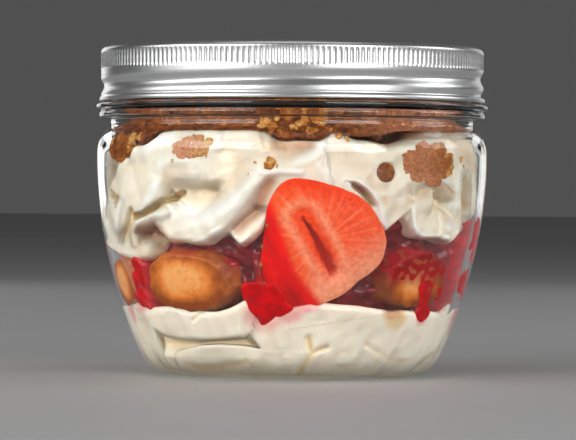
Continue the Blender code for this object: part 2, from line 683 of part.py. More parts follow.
def main():
    clear_scene()
    build_jar()
    build_lid()
    berries = [build_strawberry("strawberry_front", 0), build_strawberry("strawberry_back", 180)]
    sponges = []
    chunks = []
    for side, turn_by in (("front", 0), ("back", 180)):
        for name, (azimuth, *sizes) in SPONGES.items():
            sponges.append(build_sponge(f"{name}_{side}", azimuth + turn_by, *sizes))
        for name, (azimuth, *sizes) in CHUNKS.items():
            chunks.append(build_chunk(f"{name}_{side}", azimuth + turn_by, *sizes))
    for sponge in sponges:
        make_room(sponge, berries)
    jam = build_jam()
    make_room(jam, berries + sponges)
    make_room(build_low_cream(), berries + sponges)
    crumble = build_crumble()
    make_room(build_top_cream(), berries + sponges + chunks)
    make_room(crumble, chunks)


main()
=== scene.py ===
# %% [markdown]
# A closed jar of strawberry tiramisu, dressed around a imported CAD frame.
# The frame holds one plain solid for each piece of food, the jar and the lid. This
# script makes the finished look of each one: folded cream pressed on the glass, glossy
# jam, sponge fingers, a cut strawberry, a crumbly topping, clear glass and a satin lid.
# All sizes are in millimetres, and azimuth 0 is the front of the jar, growing rightwards.

# %% Load the frame
import math
import bmesh
import bpy
import numpy as np
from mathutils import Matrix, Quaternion, Vector


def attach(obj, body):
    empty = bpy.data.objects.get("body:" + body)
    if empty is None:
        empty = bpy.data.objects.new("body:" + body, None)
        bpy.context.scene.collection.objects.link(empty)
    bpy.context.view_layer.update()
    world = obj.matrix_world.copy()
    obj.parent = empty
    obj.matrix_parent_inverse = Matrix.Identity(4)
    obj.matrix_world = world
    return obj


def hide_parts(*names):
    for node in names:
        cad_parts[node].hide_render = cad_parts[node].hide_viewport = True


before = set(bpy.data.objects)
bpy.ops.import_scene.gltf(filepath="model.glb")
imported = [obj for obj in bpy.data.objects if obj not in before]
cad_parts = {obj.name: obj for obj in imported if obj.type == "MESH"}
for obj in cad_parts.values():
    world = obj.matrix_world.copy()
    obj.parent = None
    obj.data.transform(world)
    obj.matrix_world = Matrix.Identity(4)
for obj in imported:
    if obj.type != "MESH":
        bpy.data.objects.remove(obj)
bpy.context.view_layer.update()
MM = 0.001
SIDES = (("front", 0), ("back", 180))
print("frame nodes:", len(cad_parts))

# %% [markdown]
# Everything in the jar follows its round wall, so points are laid out by azimuth,
# radius and height. One function turns a whole array of those into points, and a
# second joins a grid of points into a closed skin with a pole at each end. Grids made
# with numpy are quick to fill and easy to bend by formulas, which suits soft food.

# %% Points and skins
def spot(azimuth, radius, height):
    """Points in mm from azimuth in degrees, radius and height."""
    turn = np.radians(np.asarray(azimuth, float))
    parts = np.broadcast_arrays(radius * np.sin(turn), -radius * np.cos(turn), height)
    return np.stack(parts, -1).astype(float)


def azimuth_of(points):
    """Azimuth of points in degrees."""
    return np.degrees(np.arctan2(points[..., 0], -points[..., 1]))


def degrees_from(azimuth, points):
    """How far points lie to the right of an azimuth, in degrees, -180..180."""
    return (azimuth_of(points) - azimuth + 180.0) % 360.0 - 180.0


def skin(grid):
    """Points and faces over grid[column, row], joined round, with a pole at each end."""
    columns, rows = grid.shape[:2]
    index = np.arange(columns * rows).reshape(columns, rows)
    after = np.roll(index, -1, axis=0)
    quads = np.stack([index[:, :-1], after[:, :-1], after[:, 1:], index[:, 1:]], -1)
    faces = quads.reshape(-1, 4).tolist()
    first, last = columns * rows, columns * rows + 1
    faces += [[first, b, a] for a, b in zip(index[:, 0].tolist(), after[:, 0].tolist())]
    faces += [[last, a, b] for a, b in zip(index[:, -1].tolist(), after[:, -1].tolist())]
    poles = [grid[:, 0].mean(0), grid[:, -1].mean(0)]
    return np.vstack([grid.reshape(-1, 3), poles]), faces


def over_skin(values):
    """Values on a grid, in the order of the points that skin() makes."""
    return np.concatenate([values.ravel(), [values[:, 0].mean(), values[:, -1].mean()]])


print("one step of a skin:", len(skin(spot(np.arange(3)[:, None] * 120.0, 1.0, np.arange(2)))[1]),
      "faces")

# %% [markdown]
# Every finished piece goes through one function, so that none is left without its
# material or its body. It turns the faces outwards, which glass and scattered
# light depend on, and keeps the values that a material reads on the mesh's points.

# %% Finished pieces
def put(name, points, faces, look, slot, replaced=(), **values):
    """A finished piece: smooth mesh, outward faces, values for its material."""
    mesh = bpy.data.meshes.new(name)
    mesh.from_pydata((points * MM).tolist(), [], faces)
    mesh.update()
    bm = bmesh.new()
    bm.from_mesh(mesh)
    bmesh.ops.recalc_face_normals(bm, faces=bm.faces)
    if bm.calc_volume(signed=True) < 0:
        bmesh.ops.reverse_faces(bm, faces=bm.faces)
    bm.to_mesh(mesh)
    bm.free()
    mesh.shade_smooth()
    for key, data in values.items():
        layer = mesh.attributes.new(key, "FLOAT", "POINT")
        layer.data.foreach_set("value", np.asarray(data, np.float32))
    mesh.materials.append(look)
    made = bpy.data.objects.new(name, mesh)
    bpy.context.scene.collection.objects.link(made)
    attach(made, "root")
    if replaced:
        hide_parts(*replaced)
    print(name, len(faces), "faces")
    return made


print("a piece is made in mm and kept in m:", MM)

# %% [markdown]
# Food is never perfectly smooth. Adding a few sine waves of random direction gives
# relief that is uneven but has no seams, because it is worked out from the point's
# place in space. The random draws come from a seed, so each run gives the same jar.

# %% Uneven relief
def ripple(points, size, seed, layers=12):
    """Uneven relief of about -1..1 whose bumps are some size mm long."""
    rng = np.random.default_rng(seed)
    total = np.zeros(points.shape[:-1])
    for _ in range(layers):
        way = rng.normal(size=3)
        way *= 2.0 * math.pi / (np.linalg.norm(way) * size * rng.uniform(0.7, 1.5))
        total += np.sin(points @ way + rng.uniform(0.0, 2.0 * math.pi))
    return total / math.sqrt(layers)


def smooth_step(value, start, end):
    """0 before start, 1 after end, and an even S-curve between."""
    t = np.clip((value - start) / (end - start), 0.0, 1.0)
    return t * t * (3.0 - 2.0 * t)


def curve(points, steps):
    """Places along a Bezier curve through blended control points."""
    out = []
    for i in range(steps + 1):
        level = [Vector(p) for p in points]
        while len(level) > 1:
            level = [a.lerp(b, i / steps) for a, b in zip(level, level[1:])]
        out.append(tuple(level[0]))
    return out


print("helpers ready")

# %% [markdown]
# A material here is a small net of nodes. These two helpers add a node with its
# settings and links in one line, and start a material whose Principled shader is at
# hand. Plain numbers go straight on the shader's sockets.

# %% Material helpers
def node(tree, kind, inputs=None, **settings):
    """Add a node; an input is either a value or the socket it is linked from."""
    made = tree.nodes.new(kind)
    for key, value in settings.items():
        setattr(made, key, value)
    for key, value in (inputs or {}).items():
        if isinstance(value, bpy.types.NodeSocket):
            tree.links.new(value, made.inputs[key])
        else:
            made.inputs[key].default_value = value
    return made


def new_look(name, **sockets):
    """A material and its Principled shader with plain values set."""
    look = bpy.data.materials.new(name)
    look.use_nodes = True
    shader = look.node_tree.nodes["Principled BSDF"]
    for key, value in sockets.items():
        shader.inputs[key.replace("_", " ")].default_value = value
    return look, look.node_tree, shader


print("helpers:", node.__name__, new_look.__name__)

# %% [markdown]
# Colour comes from ramps and mixes. A ramp turns a mask or a depth into a colour, and a
# mix lays one colour over another where a mask is high. Values kept on the points and
# coordinates fixed to the object drive both, so the colour moves with the piece.

# %% Colour helpers
def ramp(tree, factor, *stops):
    """A colour ramp with (place, colour) stops, driven by a socket."""
    made = node(tree, "ShaderNodeValToRGB", {"Fac": factor})
    made.color_ramp.elements[1].position = 1.0
    while len(made.color_ramp.elements) < len(stops):
        made.color_ramp.elements.new(0.5)
    for element, (place, colour) in zip(made.color_ramp.elements, stops):
        element.position = place
        element.color = (*colour, 1.0)
    return made.outputs["Color"]


def blend(tree, factor, first, second, kind="MIX"):
    """A colour mix of two sockets or colours."""
    made = node(tree, "ShaderNodeMix", data_type="RGBA", blend_type=kind)
    for index, value in ((0, factor), (6, first), (7, second)):
        if isinstance(value, bpy.types.NodeSocket):
            tree.links.new(value, made.inputs[index])
        else:
            made.inputs[index].default_value = value
    return made.outputs[2]


def darkened(tree, colour, mask, low, dark, high):
    """A colour multiplied by dark where the mask is below low, and unchanged above high."""
    return blend(tree, 1.0, colour, ramp(tree, mask, (low, dark), (high, (1.0, 1.0, 1.0))),
                 "MULTIPLY")


def on_object(tree):
    """Coordinates that are fixed to the object."""
    return node(tree, "ShaderNodeTexCoord").outputs["Object"]


def stored(tree, name):
    """A value kept on the mesh's points."""
    return node(tree, "ShaderNodeAttribute", attribute_name=name).outputs["Fac"]


print("material helpers ready")

# %% [markdown]
# Two effects turn up on several foods. The grain group gives a mottled mask and a fine
# height for rough food, and the wet group gives a slow change of gloss, because a wet
# surface is never equally shiny. A node group is built once and placed in each
# material with its own values.

# %% Shared node groups
def group(name, inputs, outputs):
    """An empty shader group with float inputs and the named outputs."""
    made = bpy.data.node_groups.new(name, "ShaderNodeTree")
    for key, value in inputs.items():
        socket = made.interface.new_socket(key, in_out="INPUT", socket_type="NodeSocketFloat")
        socket.default_value = value
    for key in outputs:
        made.interface.new_socket(key, in_out="OUTPUT", socket_type="NodeSocketFloat")
    return made, made.nodes.new("NodeGroupInput"), made.nodes.new("NodeGroupOutput")


print("group helper:", group.__name__)

# %% [markdown]
# The grain group mixes soft noise, which mottles the colour, with small cells, which
# make pits. Each material sets how large and how deep they are. The wet group maps slow
# noise between a low and a high roughness.

# %% Grain and wet gloss
def build_grain():
    """Mottled mask and a fine, pitted height."""
    tree, start, end = group("food grain", {"Scale": 400.0, "Pits": 0.5}, ("Mask", "Height"))
    place = on_object(tree)
    mottle = node(tree, "ShaderNodeTexNoise", {"Vector": place, "Scale": start.outputs["Scale"],
                                               "Detail": 5.0, "Roughness": 0.62})
    double = node(tree, "ShaderNodeMath", {0: start.outputs["Scale"], 1: 2.3}, operation="MULTIPLY")
    cells = node(tree, "ShaderNodeTexVoronoi", {"Vector": place, "Scale": double.outputs[0]})
    pits = node(tree, "ShaderNodeMath", {0: cells.outputs["Distance"], 1: start.outputs["Pits"]},
                operation="MULTIPLY")
    height = node(tree, "ShaderNodeMath", {0: mottle.outputs["Fac"], 1: pits.outputs[0]},
                  operation="ADD")
    tree.links.new(mottle.outputs["Fac"], end.inputs["Mask"])
    tree.links.new(height.outputs[0], end.inputs["Height"])
    return tree


def build_wet():
    """Roughness that changes slowly between a low and a high value."""
    tree, start, end = group("wet gloss", {"Scale": 90.0, "Low": 0.1, "High": 0.4}, ("Roughness",))
    place = on_object(tree)
    patches = node(tree, "ShaderNodeTexNoise", {"Vector": place, "Scale": start.outputs["Scale"],
                                                "Detail": 3.0})
    gloss = node(tree, "ShaderNodeMapRange", {"Value": patches.outputs["Fac"], "From Min": 0.3,
                                              "From Max": 0.7, "To Min": start.outputs["Low"],
                                              "To Max": start.outputs["High"]})
    tree.links.new(gloss.outputs["Result"], end.inputs["Roughness"])
    return tree


GRAIN = build_grain()
WET = build_wet()


def use(tree, shared, **values):
    """Place a shared group in a material."""
    made = node(tree, "ShaderNodeGroup", node_tree=shared)
    for key, value in values.items():
        made.inputs[key].default_value = value
    return made.outputs


def wet_gloss(tree, shader, **values):
    """Let the wet group drive the shader's roughness."""
    tree.links.new(use(tree, WET, **values)["Roughness"], shader.inputs["Roughness"])


def rough_up(tree, shader, height, strength, distance_mm):
    """Feed a height to the shader through a Bump node."""
    bump = node(tree, "ShaderNodeBump", {"Height": height, "Strength": strength,
                                         "Distance": distance_mm * MM})
    tree.links.new(bump.outputs["Normal"], shader.inputs["Normal"])


print("groups:", GRAIN.name, WET.name)

# %% [markdown]
# The jar is one turned glass: flat base, bowed body, shoulder, neck with two rounded
# beads and a plain finish that the lid covers. Its profile is a list of radius and
# height. Sharp bends are eased by a small fillet, because pressed glass has no crisp
# corner, and the wall has its true thickness so that light bends as in real glass.

# %% Jar sizes
BASE_FLAT = 28.5
HEEL_HEIGHT = 5.0
HEEL_CORNER = 32.9
BODY_RADIUS = 45.55
BODY_WIDEST = 50.0
BODY_DROP = 11.0
BODY_SPAN = 46.4
BODY_BOW = 1.91
NECK_RADIUS = 42.4
NECK_START = 58.0
SHOULDER_START = 51.5
BEAD_FLOOR = 59.2
FINISH_RADIUS = 42.6
WALL = 2.2
FLOOR = 3.0
MOUTH_RADIUS = 40.0
RIM_TOP = 75.2
HEEL_HOLLOW = 4.0
JAR_COLUMNS = 256


def body_radius(z):
    """Outer radius of the bowed body."""
    low = np.maximum(BODY_WIDEST - z, 0.0)
    return BODY_RADIUS - BODY_DROP * (low / BODY_SPAN) ** BODY_BOW


def inner_radius(z):
    """Inner radius of the jar at a height above its floor."""
    z = np.asarray(z, float)
    shoulder = smooth_step(z, SHOULDER_START, NECK_START)
    corner = np.clip((HEEL_HEIGHT + 1.0 - z) / (HEEL_HEIGHT + 1.0 - FLOOR), 0.0, 1.0)
    heel = HEEL_HOLLOW * (1.0 - np.sqrt(1.0 - corner**2))
    return body_radius(z) - WALL + (MOUTH_RADIUS - BODY_RADIUS + WALL) * shoulder - heel


print("inside radius half way up:", round(float(inner_radius(30.0)), 1), "mm")

# %% [markdown]
# The profile goes up the outside, over the rim and down the inside. The heel and the
# shoulder are Bezier curves, and the small bends of the beads get fillets. Turning one
# profile gives both faces of the glass at once, with the right thickness everywhere.

# %% Jar profile
def filleted(path, radius, steps=5):
    """The path with each corner replaced by a small curve."""
    out = [path[0]]
    for before, corner, after in zip(path, path[1:], path[2:]):
        a, b, c = Vector(before), Vector(corner), Vector(after)
        into = (a - b).normalized() * min(radius, (a - b).length * 0.45)
        onward = (c - b).normalized() * min(radius, (c - b).length * 0.45)
        out += curve([tuple(b + into), corner, tuple(b + onward)], steps)
    return out + [path[-1]]


def jar_path():
    """The jar's profile as (radius, height) places, outside first and then inside."""
    heel = [(BASE_FLAT, 0), (HEEL_CORNER, 0), (float(body_radius(HEEL_HEIGHT)), HEEL_HEIGHT)]
    outer = curve(heel, 10)
    outer += [(float(body_radius(z)), z) for z in np.linspace(6.5, SHOULDER_START, 34)]
    shoulder = [(BODY_RADIUS, SHOULDER_START), (BODY_RADIUS, 56.2), (NECK_RADIUS, 56.0),
                (NECK_RADIUS, NECK_START)]
    outer += curve(shoulder, 16)[1:]
    beads = [(NECK_RADIUS, NECK_START), (NECK_RADIUS, BEAD_FLOOR), (45.1, 59.4), (45.2, 60.6),
             (44.7, 61.1), (45.9, 61.7), (45.8, 62.7), (FINISH_RADIUS, 63.1)]
    finish = [(FINISH_RADIUS, 74.7), (41.6, RIM_TOP), (40.8, RIM_TOP), (MOUTH_RADIUS, 74.7)]
    upper = filleted(beads + finish + [(MOUTH_RADIUS, NECK_START)], 0.42)
    inner = [(float(inner_radius(z)), z) for z in np.linspace(NECK_START, FLOOR, 56)[1:]]
    inner.append((float(inner_radius(FLOOR)) - 2.0, FLOOR))
    return outer + upper[1:-1] + inner


jar_profile = jar_path()
print("jar profile points:", len(jar_profile))

# %% [markdown]
# Clear glass is a Principled shader with full transmission and an index of 1.5. Real
# pressed glass has slow ripples, so a faint bump bends the view a little. Light on its
# way to the food would be stopped by solid glass, so shadow rays see the glass as
# transparent, which is how a renderer is told that glass lets light through.

# %% Glass
def glass_look():
    """Clear glass that lets light through to the food."""
    look, tree, shader = new_look("clear glass", Transmission_Weight=1.0, IOR=1.5,
                                  Roughness=0.0)
    place = on_object(tree)
    tint = node(tree, "ShaderNodeTexNoise", {"Vector": place, "Scale": 30.0, "Detail": 1.0})
    colour = ramp(tree, tint.outputs["Fac"], (0.3, (0.975, 0.985, 0.98)), (0.7, (1.0, 1.0, 1.0)))
    tree.links.new(colour, shader.inputs["Base Color"])
    waves = node(tree, "ShaderNodeTexNoise", {"Vector": place, "Scale": 55.0, "Detail": 1.0})
    rough_up(tree, shader, waves.outputs["Fac"], 0.06, 0.5)
    ray = node(tree, "ShaderNodeLightPath")
    clear = node(tree, "ShaderNodeBsdfTransparent", {"Color": (0.94, 0.95, 0.95, 1.0)})
    mix = node(tree, "ShaderNodeMixShader", {"Fac": ray.outputs["Is Shadow Ray"]})
    output = tree.nodes["Material Output"]
    tree.links.new(shader.outputs["BSDF"], mix.inputs[1])
    tree.links.new(clear.outputs["BSDF"], mix.inputs[2])
    tree.links.new(mix.outputs["Shader"], output.inputs["Surface"])
    return look


CLEAR_GLASS = glass_look()
azimuths = np.arange(JAR_COLUMNS) * 360.0 / JAR_COLUMNS
profile = np.array(jar_profile)
grid = spot(azimuths[:, None], profile[:, 0], profile[:, 1])
put("jar_glass", *skin(grid), CLEAR_GLASS, "clear_glass", ["jar"])

# %% [markdown]
# The lid is a spun aluminium cap. A knurled band near the top gives grip, and a thread
# rolled into the skirt shows as a groove that climbs round it. Cutting each ridge by
# hand would be slow: here the radius simply follows a cosine with one wave per ridge.

# %% Lid shape
LID_RADIUS = 44.6
LID_TOP = 76.0
LID_EDGE = 63.3
LID_INSIDE = 43.3
LID_SHEET = 0.5
GROOVE_DEPTH = 0.75
GROOVE_HALF = 2.1
GROOVE_PITCH = 4.2
GROOVE_LOW = 64.6
GROOVE_TURNS = (-0.15, 1.25)
GROOVE_FADE = 0.12
RIDGES = 210
RIDGE_DEPTH = 0.2
RIDGE_BAND = (70.7, 74.7)
COLUMNS_A_RIDGE = 6


def groove(azimuth, z):
    """Depth of the rolled thread at places on the skirt."""
    deepest = np.zeros(np.broadcast(azimuth, z).shape)
    for turn in (-1, 0, 1):
        along = (azimuth - 90.0) / 360.0 + turn
        ends = np.minimum(along - GROOVE_TURNS[0], GROOVE_TURNS[1] - along)
        fade = np.clip(ends / GROOVE_FADE, 0.0, 1.0)
        off = np.clip(abs(z - GROOVE_LOW - GROOVE_PITCH * along) / GROOVE_HALF, 0.0, 1.0)
        deepest = np.maximum(deepest, fade * GROOVE_DEPTH * 0.5 * (1.0 + np.cos(math.pi * off)))
    return deepest


def lid_grid():
    """The cap's outside and inside, with the rolled thread and the grip ridges."""
    azimuth = np.arange(RIDGES * COLUMNS_A_RIDGE)[:, None] * 360.0 / (RIDGES * COLUMNS_A_RIDGE)
    top = [(2.0, LID_TOP), (30.0, LID_TOP), (41.6, LID_TOP)]
    top += curve([(42.9, LID_TOP), (44.2, 75.95), (LID_RADIUS, 75.0)], 6)
    skirt = [(LID_RADIUS, z) for z in (74.7, 74.45, 74.2, 73.4, 72.2, 71.4, 71.1, 70.8, 70.5)]
    skirt += [(LID_RADIUS, float(z)) for z in np.arange(70.1, 64.8, -0.35)]
    edge = curve([(LID_RADIUS - 0.1, 64.6), (44.9, 64.3), (45.05, 63.9), (44.9, LID_EDGE)], 5)
    inside = [(44.2, LID_EDGE), (LID_INSIDE, LID_EDGE + 0.1), (LID_INSIDE, 68.0)]
    inside += [(LID_INSIDE, LID_TOP - LID_SHEET - 0.3), (LID_INSIDE - 0.4, LID_TOP - LID_SHEET)]
    path = np.array(top + skirt + edge + inside + [(2.0, LID_TOP - LID_SHEET)])
    r, z = path[:, 0], path[:, 1]
    outside = np.arange(len(path)) < len(top + skirt + edge)
    band = smooth_step(z, RIDGE_BAND[0], RIDGE_BAND[0] + 0.5)
    band = band * (1.0 - smooth_step(z, RIDGE_BAND[1] - 0.5, RIDGE_BAND[1])) * outside
    ridges = 0.5 + 0.5 * np.cos(np.radians(azimuth) * RIDGES)
    rolled = groove(azimuth, z) * outside * smooth_step(z, 64.2, 65.0)
    return spot(azimuth, r - RIDGE_DEPTH * ridges**2 * band - rolled, z)


shape = lid_grid()
print("lid grid:", shape.shape)

# %% [markdown]
# Satin aluminium is fully metallic with a middling roughness. Spinning leaves fine
# lines round the cap, so the noise that drives roughness and bump is squeezed in height
# and stretched round the axis. The reflection of soft lights then breaks up gently.

# %% Lid finish
def aluminium_look():
    """Satin metal with fine spinning lines."""
    look, tree, shader = new_look("satin aluminium", Metallic=1.0)
    place = on_object(tree)
    squeeze = node(tree, "ShaderNodeMapping", {"Vector": place, "Scale": (20.0, 20.0, 1800.0)})
    lines = node(tree, "ShaderNodeTexNoise", {"Vector": squeeze.outputs["Vector"], "Scale": 1.0,
                                              "Detail": 3.0})
    cloud = node(tree, "ShaderNodeTexNoise", {"Vector": place, "Scale": 60.0, "Detail": 4.0})
    mixed = node(tree, "ShaderNodeMath", {0: lines.outputs["Fac"], 1: cloud.outputs["Fac"]},
                 operation="ADD")
    gloss = node(tree, "ShaderNodeMapRange", {"Value": mixed.outputs[0], "From Min": 0.6,
                                              "From Max": 1.4, "To Min": 0.27, "To Max": 0.4})
    tree.links.new(gloss.outputs["Result"], shader.inputs["Roughness"])
    colour = ramp(tree, cloud.outputs["Fac"], (0.3, (0.78, 0.785, 0.79)), (0.7, (0.86, 0.86, 0.86)))
    tree.links.new(colour, shader.inputs["Base Color"])
    rough_up(tree, shader, lines.outputs["Fac"], 0.25, 0.03)
    return look


SATIN_ALUMINIUM = aluminium_look()
put("screw_lid", *skin(shape), SATIN_ALUMINIUM, "satin_aluminium", ["lid"])

# %% [markdown]
# Each layer meets the glass along an uneven line. The lines are short lists of azimuth
# and height, repeated every half turn, so the hidden side is as finished as the front.

# %% Lines along the glass
HEM = [
    (-90, 31), (-87, 30), (-78, 28.5), (-69, 27.2), (-57, 26.7), (-50, 26.6), (-49, 27.6),
    (-47, 29.7), (-45, 32.3), (-43.2, 34.2), (-41.8, 30.4), (-40, 30.8), (-37.5, 31.3),
    (-34, 30.7), (-31, 30.3), (-28, 30.4), (-22.5, 32.4), (-19.5, 32.6), (-16, 29.5),
    (-13, 31.4), (-10.5, 33), (-8.5, 34.3), (-6.5, 38), (-4, 42), (-1, 43.8), (3.5, 44),
    (12, 42.3), (18, 39.6), (23, 36.8), (27, 34.4), (29.5, 33.2), (32, 34.9), (35, 36.5),
    (37, 37.9), (38, 35.8), (39.5, 34), (41.5, 32.6), (46, 31.9), (53, 32), (59.5, 30.7),
    (63.5, 32.8), (69, 35), (74, 37.5), (80, 36.5), (86, 33.5), (90, 31),
]
CREAM_RIM = [
    (-90, 55), (-69, 54.3), (-58, 53), (-50, 53.2), (-45, 54.8), (-38, 55.2), (-12.5, 55.4),
    (-7.5, 55.2), (-4, 54), (4, 53.9), (8, 53.8), (12.5, 55), (16, 54.6), (20, 54.2),
    (25, 54.3), (30, 54.8), (36, 55.3), (90, 55),
]
LOW_RIM = [
    (-90, 17.6), (-84, 17.6), (-72.5, 17.8), (-67, 16.9), (-57, 16.4), (-45.5, 16.9),
    (-36, 16.1), (-27, 15.7), (-21.5, 16.6), (-16, 18.4), (-14, 19), (-13, 17), (-11.5, 13.8),
    (-10, 13.1), (-7, 14.4), (-3.5, 16.3), (0.5, 17), (3.5, 17.3), (9.5, 18.1), (16, 17.7),
    (23, 17.4), (29.5, 16.8), (35.5, 16.3), (37, 15.9), (42, 16.3), (51.5, 15.9), (55.5, 16.1),
    (67, 15.3), (74, 17.5), (90, 17.6),
]


def half_turn(azimuth):
    """Azimuth folded into -90..90, so that a pattern repeats every half turn."""
    return (np.asarray(azimuth, float) + 90.0) % 180.0 - 90.0


def along_glass(line, azimuth):
    """Height of a line along the glass, with its corners eased."""
    azimuth = np.asarray(azimuth, float)
    xs, ys = zip(*line)
    shifts = (-1.4, -0.7, 0.0, 0.7, 1.4)
    return sum(np.interp(half_turn(azimuth + ease), xs, ys) for ease in shifts) / len(shifts)


print("lines:", len(HEM), len(CREAM_RIM), len(LOW_RIM))

# %% [markdown]
# Folded cream is a stack of soft ribbons. On the unrolled glass each fold is a rim line
# with a flat part, then a gentle slope on its left, a steep side on its right and a lift:
# where it touches the glass it is pressed flat, and it draws back on both sides. A closed
# line is a patch that is flat all over. Where two folds meet, the nearer one wins and a
# crease forms by itself, which is how real whipped cream folds. Dents are cut last.

# %% Cream folds
FOLDS = [  # line, flat part, left slope's length and fall, steep side's depth, lift
    ([(-57.3, 30.5), (-57.2, 33.4), (-54.5, 35), (-50.5, 35.7), (-45, 36.6), (-41, 37.5)],
     0.8, 1.6, 1.6, 1.8, 0.2),
    ([(-44.8, 36.4), (-42.6, 34.6), (-42.2, 32.4), (-39, 32.8), (-34, 32.6), (-28, 32.6),
      (-23, 34.4), (-18.5, 37), (-14.5, 40.2), (-11.5, 43.6), (-8.5, 46), (-3.5, 47), (2, 47)],
     4.0, 3.4, 3.2, 2.2, 0.0),
    ([(-54.5, 38.3), (-50, 38.6), (-46.5, 40.3), (-43.8, 42.4), (-41.6, 45.4), (-40.3, 48.5),
      (-39.2, 52), (-38.4, 56)], 9.0, 6.0, 2.0, 2.6, 0.0),
    ([(-70, 30), (-66.5, 34.5), (-62.5, 39.5)], 5.0, 5.0, 2.0, 1.8, 0.1),
    ([(-80, 29.8), (-70, 28.8), (-62, 28.3), (-55, 28.1), (-51.5, 28.6)],
     1.2, 3.2, 3.4, 1.8, 0.1),
    ([(-19.5, 34.2), (-16.2, 31.4), (-13, 32.9), (-7, 36)], 0.8, 8.0, 2.2, 1.4, 1.7),
    ([(-40, 47.2), (-31, 47.2), (-23, 47.6)], 8.0, 4.0, 0.8, 6.0, 0.1),
    ([(-24, 48.6), (-17, 49.4), (-9, 50.2)], 8.0, 4.0, 0.5, 3.0, 1.1),
    ([(-10, 51.5), (-4, 52.2), (4, 53)], 6.0, 4.0, 0.5, 4.0, 2.8),
    ([(10.5, 54), (8, 52.6), (5.5, 50.6), (2, 49), (-2, 48), (-6, 47.6)],
     3.5, 5.0, 1.0, 2.4, 0.0),
    ([(11.2, 44.3), (10, 46.3), (9.5, 48.5), (9, 50.7), (9.5, 54.5)], 5.0, 4.0, 1.0, 1.0, 0.0),
    ([(64, 53), (47, 52.4), (36, 51.4), (28, 50.2), (20, 50.4), (13, 51.5)],
     3.5, 6.0, 1.3, 3.0, 0.35),
    ([(17, 45.8), (20, 45.2), (23.5, 43.5), (26, 41.2), (28, 38.5), (29.6, 35.4)],
     4.0, 5.0, 1.0, 1.1, 0.0),
    ([(29.8, 34.9), (34, 37.1), (37.3, 39.6), (38.4, 43.2)], 3.5, 4.0, 1.0, 1.3, 0.0),
    ([(34.5, 43.4), (36.5, 44.8), (39.5, 46.2), (44, 46.8), (47.5, 46.5), (51.5, 45.2),
      (56.5, 43)], 1.2, 5.0, 1.2, 3.4, 0.0),
    ([(40.3, 40.6), (39.9, 37.6), (40.6, 35.4), (42.6, 33.9), (47, 33.4), (53, 33.5),
      (58, 32.4), (60, 31.9)], 3.6, 3.6, 3.2, 1.5, 0.0),
    ([(61, 31.5), (60.6, 37.3), (58.2, 43.8), (56, 49.5), (54.5, 53)], 0.8, 3.5, 2.2, 2.2, 0.0),
    ([(73.5, 36.5), (70, 43), (68, 50), (67, 54)], 1.0, 5.0, 2.6, 3.0, 0.1),
    ([(89, 33), (87, 40), (84.5, 48), (83.5, 54)], 1.0, 7.0, 2.2, 4.0, 0.2),
    ([(-73.5, 28.5), (-77, 36), (-79, 44), (-81.5, 54)], 1.0, 8.0, 2.4, 3.4, 0.2),
]
LOW_FOLDS = [
    ([(-105, -2), (-66, -2), (-62, 3), (-60.5, 6.5), (-60, 10), (-59.5, 13), (-60, 24),
      (-105, 24), (-105, -2)], 99.0, 1.0, 0.0, 2.6, 0.0),
    ([(-59, 12.6), (-56, 12), (-52, 10.9), (-47.5, 10.4), (-35, 10.3), (-26, 10.7),
      (-17.5, 11.1), (-14.6, 12.6), (-13.6, 16), (-14.5, 24), (-61, 24), (-59, 12.6)],
     99.0, 1.0, 0.0, 1.3, 0.0),
    ([(-56, -2), (4, -2), (6, 2), (6, 6.2), (-7.5, 6.4), (-18, 7.3), (-26.5, 7.5), (-35, 7.1),
      (-42, 6.3), (-48, 5.6), (-50.2, 4), (-56, -2)], 99.0, 1.0, 0.0, 1.1, 0.0),
    ([(2, -2), (37, -2), (36.5, 5), (35.6, 8), (34.6, 10.8), (34.2, 13.4), (34.6, 24), (-8, 24),
      (-7, 14), (-10.8, 12.6), (-12, 10.2), (-9.5, 7.4), (-2, 6), (2, -2)],
     99.0, 1.0, 0.0, 1.2, 0.0),
    ([(37.5, -2), (105, -2), (105, 24), (43, 24), (43.5, 14), (44, 9), (41, 5.5), (38, 3),
      (37.5, -2)], 99.0, 1.0, 0.0, 2.6, 0.0),
]
DENTS = [  # line, half width and depth
    ([(-34.5, 42.2), (-41, 40.3), (-46, 38.4), (-51, 37.3), (-55.5, 36.8)], 0.9, 1.5),
    ([(-56.5, 38), (-60, 34.7), (-65.5, 31.5)], 1.3, 0.8),
    ([(-68.5, 42.2), (-66.5, 41.4)], 0.9, 1.4), ([(-64, 41), (-66, 39.3)], 0.8, 1.2),
    ([(18.5, 44), (20.5, 43.2), (23, 41.8), (24.5, 40)], 1.0, 1.6),
    ([(48, 39.9), (49.5, 37.4), (51.5, 34.1)], 1.1, 0.35),
    ([(64.5, 45.1), (66, 42.5), (65.5, 39.9)], 1.8, 0.8),
    ([(37.6, 42.2), (38.1, 41.8)], 0.9, 0.4),
]
LOW_DENTS = [
    ([(6.5, 9.9), (7.6, 7.4), (7.8, 6.4), (6.5, 4.7), (3.5, 2.6)], 1.5, 0.9),
    ([(13.5, 7.9), (10.5, 7.3), (8.2, 6.5)], 1.2, 0.8),
    ([(-46, 3.9), (-42, 3.5), (-33, 3.5), (-22.5, 4), (-17, 4.6)], 1.0, 0.6),
    ([(29, 8.4), (34.5, 6.7), (43, 4.9), (51, 4.5)], 1.1, 0.35),
    ([(19, 3.9), (23.5, 3.7)], 0.8, 0.5), ([(70, 5.9), (66, 5.1), (64, 4.2)], 0.9, 0.5),
    ([(-32, 15.6), (-36, 13.8)], 1.0, 0.4), ([(-66, 13), (-65, 9)], 0.8, 0.4),
]

print("folds:", len(FOLDS), len(LOW_FOLDS), "dents:", len(DENTS), len(LOW_DENTS))

